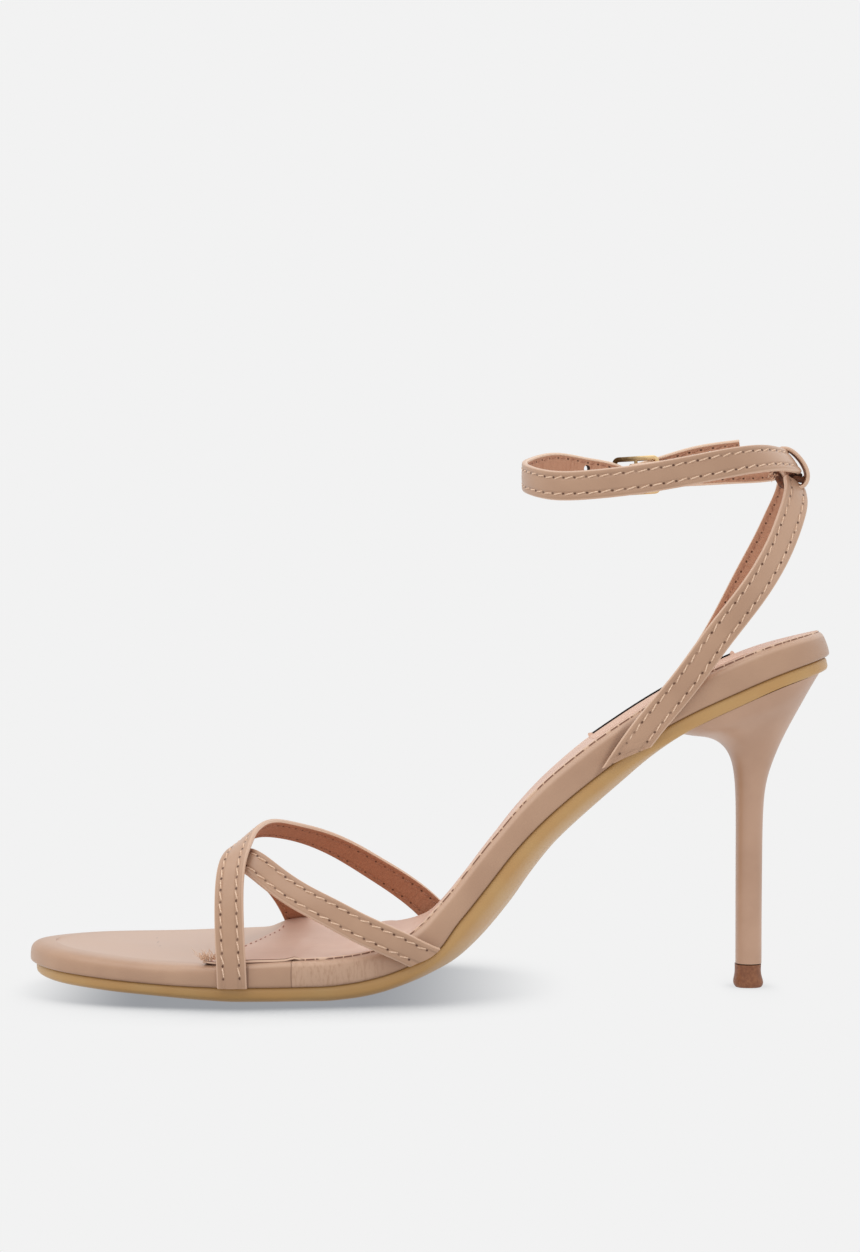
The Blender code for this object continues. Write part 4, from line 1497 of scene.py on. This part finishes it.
def cut_front():
    bpy.ops.mesh.bisect(plane_co=front, plane_no=ahead, use_fill=True, clear_outer=True, threshold=MERGE)


edit_all(cut_front, normals_out)
smooth_edges()
dress(sock, "insole_sock", sock_satin(), "insole_sock")

# %% Sock stitches
# A row holds the slanting front edge: pitch, distance from the two corners and from the edge.
FRONT_PITCH = 4.4
FRONT_ENDS = (4.0, 2.0)
FRONT_IN = 1.0
# Half the width of the sole there, and how far the thread lies above the sock.
HALF_WIDTH = 38
THREAD_UP = 0.04
SOCK_THREAD = thread_finish("sock_thread", tint(184, 130, 112), tint(140, 92, 76))


def sock_seat(x, y, heading):
    """A stitch seat on the sock at x, y, running along a heading in the plan."""
    up = sock_top(x, abs(y) / HALF_WIDTH, y) + THREAD_UP
    here, there = (place(x + d * heading[0], y + d * heading[1], up) for d in (-0.5, 0.5))
    run = unit(there - here)
    out = np.array((-np.sin(slope(x)), FALL(x), np.cos(slope(x))))
    return (here + there) / 2, run, unit(out - run * (out @ run))


start, stop = (np.array(p) for p in SOCK_FRONT)
heading = unit(stop - start)
inwards = np.array((heading[1], -heading[0])) * FRONT_IN
first, last = FRONT_ENDS
steps = np.arange(first, np.linalg.norm(stop - start) - last, FRONT_PITCH)
front_seats = [sock_seat(*(start + heading * d + inwards), heading) for d in steps]
lay_stitches("sock_front_stitches", front_seats, SOCK_THREAD, "insole_sock")

# %% [markdown]
# ## Loose threads
# Where the front corner of the sock has come up, threads stand out of the cut
# edge, and a few more hang where the slingback straps are sewn together. Each is
# a thin tapered tube bent to one side, and a tuft of them is one piece.

# %% Loose threads
THREAD_THICK = 0.17
THREAD_STEPS = 6
# Name, node, middle of the tuft, its half size, threads, shortest and longest, lean forwards, rise.
TUFTS = [
    ("sock_threads", "insole_sock", (-57.3, -35.3, 12.0), (1.8, 0.5, 0.3), 60, 1.0, 2.4, -0.35, 0.75),
    ("sling_threads", "slingback", (92.5, -0.8, 138.4), (1.1, 0.7, 0.9), 40, 0.5, 1.5, -0.2, 0.0),
]


def tuft(name, middle, half, count, shortest, longest, lean, rise):
    hand = np.random.default_rng(11)
    turns = np.arange(4) * math.pi / 2
    square = np.stack([np.cos(turns), np.sin(turns), np.zeros(4)], axis=1) * THREAD_THICK
    verts = []
    faces = []
    for _ in range(count):
        first = len(verts)
        root = np.array(middle) + np.array(half) * hand.uniform(-1, 1, 3)
        long = hand.uniform(shortest, longest)
        way = np.array((hand.normal(lean, 0.55), hand.normal(-0.2, 0.4), hand.normal(rise, 0.25)))
        curl = hand.normal(0, 0.35, 3)
        for s in np.linspace(0, 1, THREAD_STEPS):
            verts += list(root + long * (s * way + s * s * curl) + square * (1 - 0.7 * s))
        last = len(verts) - 4
        for low in range(first, last, 4):
            faces += [(low + a, low + (a + 1) % 4, low + 4 + (a + 1) % 4, low + 4 + a) for a in range(4)]
        faces += [tuple(range(last, last + 4)), tuple(range(first + 3, first - 1, -1))]
    return piece_from(name, verts, faces)


for name, node, *shape in TUFTS:
    dress(tuft(name, *shape), node, CREAM_THREAD)

# %% [markdown]
# ## Gathered ends of the slingback
# Where the two slingback straps meet under the ankle strap, their linings are
# gathered and sewn, which shows as a crumpled roll. The roll is painted much
# darker than the lining and runs on into the bottom of the loop, so it is also
# painted shade there. A ring that swells and shrinks in a few folds is carried
# along a short path.

# %% Gathered ends
# The last points carry the roll into the bottom of the loop, as painted shade.
GATHER_PATH = [
    (92.0, 2.2, 140.2),
    (93.4, 1.4, 139.0),
    (94.6, 0.9, 137.4),
    (95.8, 0.5, 136.2),
    (97.4, 0.3, 137.2),
    (99.2, 0.2, 137.6),
    (100.5, 0.0, 137.1),
    (101.3, 0.0, 137.6),
]
GATHER_RADIUS = 1.25
# Folds round the roll: how many, how they wind along it, depth.
GATHER_FOLDS = [(3, 9.0, 0.24), (5, -14.0, 0.16), (8, 23.0, 0.08)]


def gather_rings():
    s = np.linspace(0, 1, 48)
    path = smooth_path(GATHER_PATH)
    a = np.linspace(0, 2 * math.pi, 41)
    run = unit(path(np.clip(s + 0.01, 0, 1)) - path(np.clip(s - 0.01, 0, 1)))
    other = np.array((0.0, 1.0, 0.0))
    side = np.cross(run, other)
    size = GATHER_RADIUS * (0.25 + 0.75 * np.sin(np.pi * np.clip(s, 0.02, 0.98)) ** 0.35)[:, None]
    for count, wind, depth in GATHER_FOLDS:
        size = size * (1 + depth * np.sin(count * a[None] + wind * s[:, None]))
    across = side[:, None] * np.cos(a)[:, None] + other * np.sin(a)[:, None]
    return path(s)[:, None] + across * size[..., None]


def gather_and_shade_finish():
    f = Finish("gathered_lining_and_shade")
    fold = f.noise(f.spots(), 1.4, 3.0, 0.6)
    # Painted shade: the roll is much darker than the lining.
    shade = f.mix(f.step(fold, 0.35, 0.65), tint(74, 48, 38), tint(140, 94, 70))
    return f.set(Base_Color=shade, Roughness=0.8, Normal=f.bump(fold, 0.3))


dress(skin("sling_gather_and_shade", gather_rings()), "slingback", gather_and_shade_finish())

# %% [markdown]
# ## Label patch
# On the heel seat lies a plain patch, a little thicker than paper. Its outer edge
# is dark and curls up, and the two outer corners stand a little higher. It is
# left blank.

# %% Label patch
PATCH_MIDDLE = np.array((68.9, 3.0))
PATCH_HALF = np.array((19.2, 17.0))
PATCH_CORNER = 1.2
PATCH_STEP = 1.5
PATCH_THICK = 0.15
PATCH_CURL = 0.5
# The raised corners: height and reach.
PATCH_EARS = (1.2, 1.1)
PATCH_DARK = tint(30, 24, 22)
# Share of the way to the middle line, height in thicknesses, mark for the finish.
PATCH_LAYERS = [
    (1.0, -0.7, -1.0),
    (0.5, -0.7, -0.5),
    (0.2, -0.7, -0.2),
    (0.03, -0.7, -0.1),
    (0.0, 0.0, 0.0),
    (0.0, 0.75, 0.0),
    (0.012, 1.0, 0.2),
    (0.03, 1.0, 0.5),
    (0.08, 1.0, 1.0),
    (0.2, 1.0, 2.5),
    (0.4, 1.0, 5.0),
    (0.7, 1.0, 8.0),
    (1.0, 1.0, 12.0),
]
MID_LINE_HALF = 8


# %% Outline of the patch
def corners(steps):
    """Goes round the corners of a rectangle: the side of each along and up, and the angle."""
    for k, (u, v) in enumerate([(1, 1), (-1, 1), (-1, -1), (1, -1)]):
        for a in np.linspace(k * math.pi / 2, (k + 1) * math.pi / 2, steps):
            yield np.array((u, v)), np.array((math.cos(a), math.sin(a)))


def patch_outline():
    """Close points round a rectangle with round corners."""
    straight = PATCH_HALF - PATCH_CORNER
    pts = [PATCH_MIDDLE + side * straight + PATCH_CORNER * way for side, way in corners(7)]
    close = []
    for one, two in zip(pts, pts[1:] + pts[:1]):
        n = max(1, int(math.dist(one, two) / PATCH_STEP))
        close += [one + (two - one) * s / n for s in range(n)]
    return np.array(close + close[:1])


def curled(x, y, share):
    """How far the patch stands up at its outer edge and its outer corners."""
    far = PATCH_MIDDLE[1] + PATCH_HALF[1]
    high, reach = PATCH_EARS
    edge = PATCH_CURL * np.clip(y - far + 1.0, 0, 1) * (share < 0.02)
    for end in (-1, 1):
        away = np.hypot(x - PATCH_MIDDLE[0] - end * PATCH_HALF[0], y - far)
        edge = edge + high * np.clip(1 - away / reach, 0, 1)
    return edge


# %% Patch finish
def patch_finish():
    f = Finish("label_patch")
    where = f.spots()
    station, inward = f.lengths()
    grain = f.noise(where, 0.6, 3.0)
    _, y, _ = f.millimetres(where)
    line = f.step(inward, 0.45, 0.6, 1.0, 0.0) * f.step(y, 14, 16)
    from_middle = abs(station - PATCH_MIDDLE[0])
    line = line * f.step(from_middle, PATCH_HALF[0] - 1.3, PATCH_HALF[0] - 0.9, 1.0, 0.0)
    shade = f.mix(line, SOCK_PINK, PATCH_DARK)
    return f.set(Base_Color=shade, Roughness=0.8, Specular_IOR_Level=0.15, Normal=f.bump(grain, 0.05))


# %% Make the patch
edge_ring = patch_outline()
mid_line = np.full_like(edge_ring, PATCH_MIDDLE[1])
mid_line[:, 0] = PATCH_MIDDLE[0] + np.clip(edge_ring[:, 0] - PATCH_MIDDLE[0], -MID_LINE_HALF, MID_LINE_HALF)
rings = []
stations = []
for share, up, _ in PATCH_LAYERS:
    x, y = (edge_ring + (mid_line - edge_ring) * share).T
    v = y / np.where(y > 0, OUTER(x), INNER(x))
    rings.append(place(x, y, sock_top(x, v, y) + PATCH_THICK * up + curled(x, y, share)))
    stations.append(x)
marks = marks_of(np.stack(stations), np.array([m for _, _, m in PATCH_LAYERS])[:, None])
dress(skin("label_patch", rings, marks), "insole_sock", patch_finish())

# %% [markdown]
# ## Heel
# The heel is a stack of ovals, square at the breast and round at the back. Lines
# are drawn down through the ovals and read at close steps, so the lip under the
# seat stays crisp and the shaft is smooth.

# %% Heel
# Front x, front z, back x, back z, half width, squareness of front and of back.
HEEL_ROWS = [
    (70.6, 68.0, 103.0, 81.8, 19.0, 5.0, 2.2),
    (75.0, 67.5, 101.0, 78.2, 16.2, 4.0, 2.2),
    (78.5, 66.1, 98.5, 73.6, 12.8, 3.2, 2.2),
    (80.7, 63.5, 95.6, 68.0, 9.6, 2.7, 2.2),
    (82.0, 59.4, 93.0, 62.0, 7.1, 2.5, 2.2),
    (82.6, 54.0, 91.0, 55.5, 5.6, 2.4, 2.2),
    (82.8, 46.0, 90.1, 46.8, 4.8, 2.4, 2.2),
    (82.8, 34.0, 89.9, 34.0, 4.4, 2.4, 2.2),
    (82.8, 18.0, 89.8, 18.0, 4.2, 2.4, 2.2),
    (82.8, 6.4, 89.8, 6.4, 4.1, 2.4, 2.2),
]
# The ring under the seat: front x, back x, half width, squareness of front and of back.
HEEL_TOP = (66.2, 104.4, 20.6, 7.0, 2.2)
TIP_ROWS = [
    (82.6, 6.1, 89.7, 6.1, 4.1, 2.6, 2.3),
    (82.5, 3.0, 89.8, 3.0, 4.2, 2.6, 2.3),
    (82.4, 0.45, 90.1, 0.45, 4.4, 2.6, 2.3),
    (82.7, 0.0, 89.8, 0.0, 4.1, 2.6, 2.3),
]
HEEL_AROUND = 72
# Sizes of the rings that close the ends.
SEAT_CLOSE = (0.02, 0.4, 0.8, 0.98)
CLOSE = (0.9, 0.02)
# The top of the heel tilts with the seat; the tilt is gone at this height, over this length.
UNTILTED = (55.0, 12.0)


# %% Rings of the heel
def oval(front_square, back_square):
    """Shares from front to back and sides of points round an oval."""
    a = 2 * np.pi * np.arange(HEEL_AROUND + 1) / HEEL_AROUND
    power = 2 / np.where(np.cos(a) > 0, back_square, front_square)
    return 0.5 + 0.5 * squared_off(np.cos(a), power), squared_off(np.sin(a), power)


def ring(row, size=1.0):
    fx, fz, bx, bz, half, front_square, back_square = row
    s, side = oval(front_square, back_square)
    s = 0.5 + (s - 0.5) * size
    x, y, z = fx + s * (bx - fx), side * half * size, fz + s * (bz - fz)
    low, length = UNTILTED
    return np.stack([x, y, z - FALL(x) * y * np.clip((z - low) / length, 0, 1)], axis=-1)


def seat_ring(size):
    front, back, half, front_square, back_square = HEEL_TOP
    s, side = oval(front_square, back_square)
    x = front + (0.5 + (s - 0.5) * size) * (back - front)
    y = size * side * half
    return place(x, y, sole_under(x, 0.0, y) - JOINT)


def drawn_down(rings, steps):
    """Rings at close steps on lines drawn through the given rings."""
    rings = np.stack(rings)
    lines = [smooth_path(rings[:, k])(np.linspace(0, 1, steps)) for k in range(HEEL_AROUND)]
    made = np.stack(lines, axis=1)
    return np.concatenate([made, made[:, :1]], axis=1)


# %% Heel finishes
def heel_finish():
    f = Finish("heel_cover")
    where = f.spots()
    cloudy, face = f.clouds(where, 14, tint(179, 141, 116), tint(189, 151, 126))
    grain = f.noise(where, 0.5, 3.0, 0.6)
    return f.set(
        Base_Color=face,
        Roughness=0.36 + cloudy * 0.1,
        Coat_Weight=0.15,
        Coat_Roughness=0.3,
        Specular_IOR_Level=0.5,
        Normal=f.bump(grain * 0.15 + cloudy * 0.3, 0.15),
    )


def tip_finish():
    f = Finish("tip_plastic")
    scuff = f.noise(f.spots(), 1.2, 4.0, 0.7)
    face = f.mix(f.step(scuff, 0.35, 0.7), tint(120, 69, 40), tint(144, 92, 59))
    return f.set(Base_Color=face, Roughness=0.4 + scuff * 0.25, Normal=f.bump(scuff, 0.1))


# %% Make the heel and its tip
top = [seat_ring(size) for size in SEAT_CLOSE]
middle = drawn_down([seat_ring(1.0)] + [ring(r) for r in HEEL_ROWS], 90)
end = [ring(HEEL_ROWS[-1], size) for size in CLOSE]
dress(skin("heel_cover", [*top, *middle, *end]), "heel", heel_finish(), "heel")
top = [ring(TIP_ROWS[0], size) for size in reversed(CLOSE)]
middle = drawn_down([ring(r) for r in TIP_ROWS], 24)
end = [ring(TIP_ROWS[-1], size) for size in CLOSE]
dress(skin("heel_lift", [*top, *middle, *end], smooth=50), "heel_tip", tip_finish(), "heel_tip")

# %% [markdown]
# ## Buckle
# The frame is a flat gold rail bent into a rectangle with round corners, with a
# thin bar across its middle for the fold of the strap. An oval is carried round
# the rectangle. The prong is a merged copy of the solid one, because an imported
# mesh has every corner split, rounded by one subdivision.

# %% Buckle
BUCKLE_CENTRE = (57.8, 29.0, 139.0)
BUCKLE_SIZE = np.array((13.2, 10.8))
BUCKLE_TURN = 3.5
BUCKLE_CORNER = 1.8
# The rail: width, thickness, roundness.
RAIL = (1.4, 1.1, 0.6)
BAR_RADIUS = 0.5
# How far the bar ends inside the frame.
BAR_IN = 0.6


def in_buckle(u, v, w):
    """Buckle millimetres, along the strap, up and outwards, on the table."""
    a = math.radians(BUCKLE_TURN)
    x = u * math.cos(a) - v * math.sin(a)
    z = u * math.sin(a) + v * math.cos(a)
    return np.stack([BUCKLE_CENTRE[0] + x, BUCKLE_CENTRE[1] + w, BUCKLE_CENTRE[2] + z], axis=-1)


def rail_rings():
    wide, thick, power = RAIL
    straight = BUCKLE_SIZE / 2 - BUCKLE_CORNER
    a = np.linspace(0, 2 * math.pi, 25)
    reach = BUCKLE_CORNER - wide / 2 + wide / 2 * squared_off(np.cos(a), power)
    out = thick / 2 * squared_off(np.sin(a), power)
    rings = []
    for side, way in corners(9):
        u, v = (side * straight + reach[:, None] * way).T
        rings.append(in_buckle(u, v, out))
    return np.stack(rings + rings[:1])


# %% Gold
def gold_finish():
    f = Finish("gold_metal")
    where = f.spots()
    rub = f.noise(where, 1.5, 3.0, 0.6)
    x, _, _ = f.millimetres(where)
    # Painted shade and reflection: the gold is dark towards the front end of the buckle and bright towards
    # its back.
    shade = f.mix(f.step(x + rub * 6, 55, 65), tint(80, 57, 34), tint(238, 206, 154))
    return f.set(Base_Color=shade, Metallic=1.0, Roughness=0.14 + rub * 0.14)


GOLD = gold_finish()


# %% Make the frame of the buckle
rail = skin("buckle_rail", rail_rings())
low, high = (in_buckle(0.0, s * (BUCKLE_SIZE[1] / 2 - BAR_IN), 0.0) for s in (-1, 1))
deselect()
rod((low + high) / 2, high - low, BAR_RADIUS, math.dist(low, high))
bpy.ops.object.transform_apply(location=True, rotation=True, scale=True)
smooth_edges()
rail.select_set(True)
bpy.context.view_layer.objects.active = rail
bpy.ops.object.join()
dress(rail, "buckle_frame", GOLD, "buckle_frame")

# %% Prong
PRONG_DROP = -0.6


def lower_prong():
    bpy.ops.transform.translate(value=(0, 0, PRONG_DROP * MM))


deselect()
prong = frame["nodes"]["buckle_prong"].copy()
prong.data = prong.data.copy()
prong.name = prong.data.name = "buckle_pin"
prong.parent = None
bpy.context.scene.collection.objects.link(prong)
prong.select_set(True)
bpy.context.view_layer.objects.active = prong
edit_all(merge_corners, lower_prong)
soft = prong.modifiers.new("soft", "SUBSURF")
soft.levels = soft.render_levels = 1
bpy.ops.object.modifier_apply(modifier=soft.name)
bpy.ops.object.shade_smooth()
dress(prong, "buckle_prong", GOLD, "buckle_prong")

# %% [markdown]
# ## Stage
# The shoe stands on a lit table under an even white sky, with two very soft suns
# that add a little light from above. The table glows in the tone of the sky and
# takes no light; a shadow is painted into its glow, darker where more of the
# space just above it is filled. The painted shadow is deepest under the ball and
# fades towards the toe and the arch.

# %% Floor, sky and light
SKY = tint(242, 242, 242)
# Name, where it shines from, strength, spread (degrees).
SUNS = [("overhead", (-0.35, -0.25, 1.0), 0.8, 60), ("behind", (0.5, 0.6, 0.8), 0.25, 60)]
SHADOW_REACH = 35.0
SHADOW = tint(152, 154, 158)
scene = bpy.context.scene
scene.view_settings.view_transform = "Standard"
sky = bpy.data.worlds.new("studio")
scene.world = sky
sky.use_nodes = True
sky.node_tree.nodes["Background"].inputs["Color"].default_value = SKY
for name, spot, strength, spread in SUNS:
    light = bpy.data.lights.new(name, "SUN")
    light.energy = strength
    light.angle = math.radians(spread)
    ob = bpy.data.objects.new(name, light)
    ob.rotation_euler = (-Vector(spot)).to_track_quat("-Z", "Y").to_euler()
    scene.collection.objects.link(ob)
deselect()
bpy.ops.mesh.primitive_plane_add(size=8.0, location=(0, 0, 0))
floor = bpy.context.active_object
floor.name = "floor"


def lit_table():
    f = Finish("lit_table")
    x, _, _ = f.millimetres(f.spots())
    # Painted shadow: the glow is darkened by the occlusion, most under the ball and a little under the heel
    # tip.
    under_ball = f.step(x, -118, -75) * f.step(x, -20, 42, 1.0, 0.0)
    under_heel = f.step(abs(x - 86), 4, 10, 0.25, 0.0)
    reach = {"Distance": SHADOW_REACH * MM}
    open_sky = f.node("ShaderNodeAmbientOcclusion", {"samples": 16}, reach, "AO")
    shade = f.step(open_sky, 0.6, 1.0, 1.0, 0.0) * under_ball.most(under_heel)
    tone = f.mix(shade, SKY, SHADOW)
    return f.set(
        Base_Color=(0, 0, 0, 1),
        Roughness=1.0,
        Specular_IOR_Level=0.0,
        Emission_Color=tone,
        Emission_Strength=1.0,
    )


floor.data.materials.append(lit_table())
print("floor, sky and", len(SUNS), "suns")
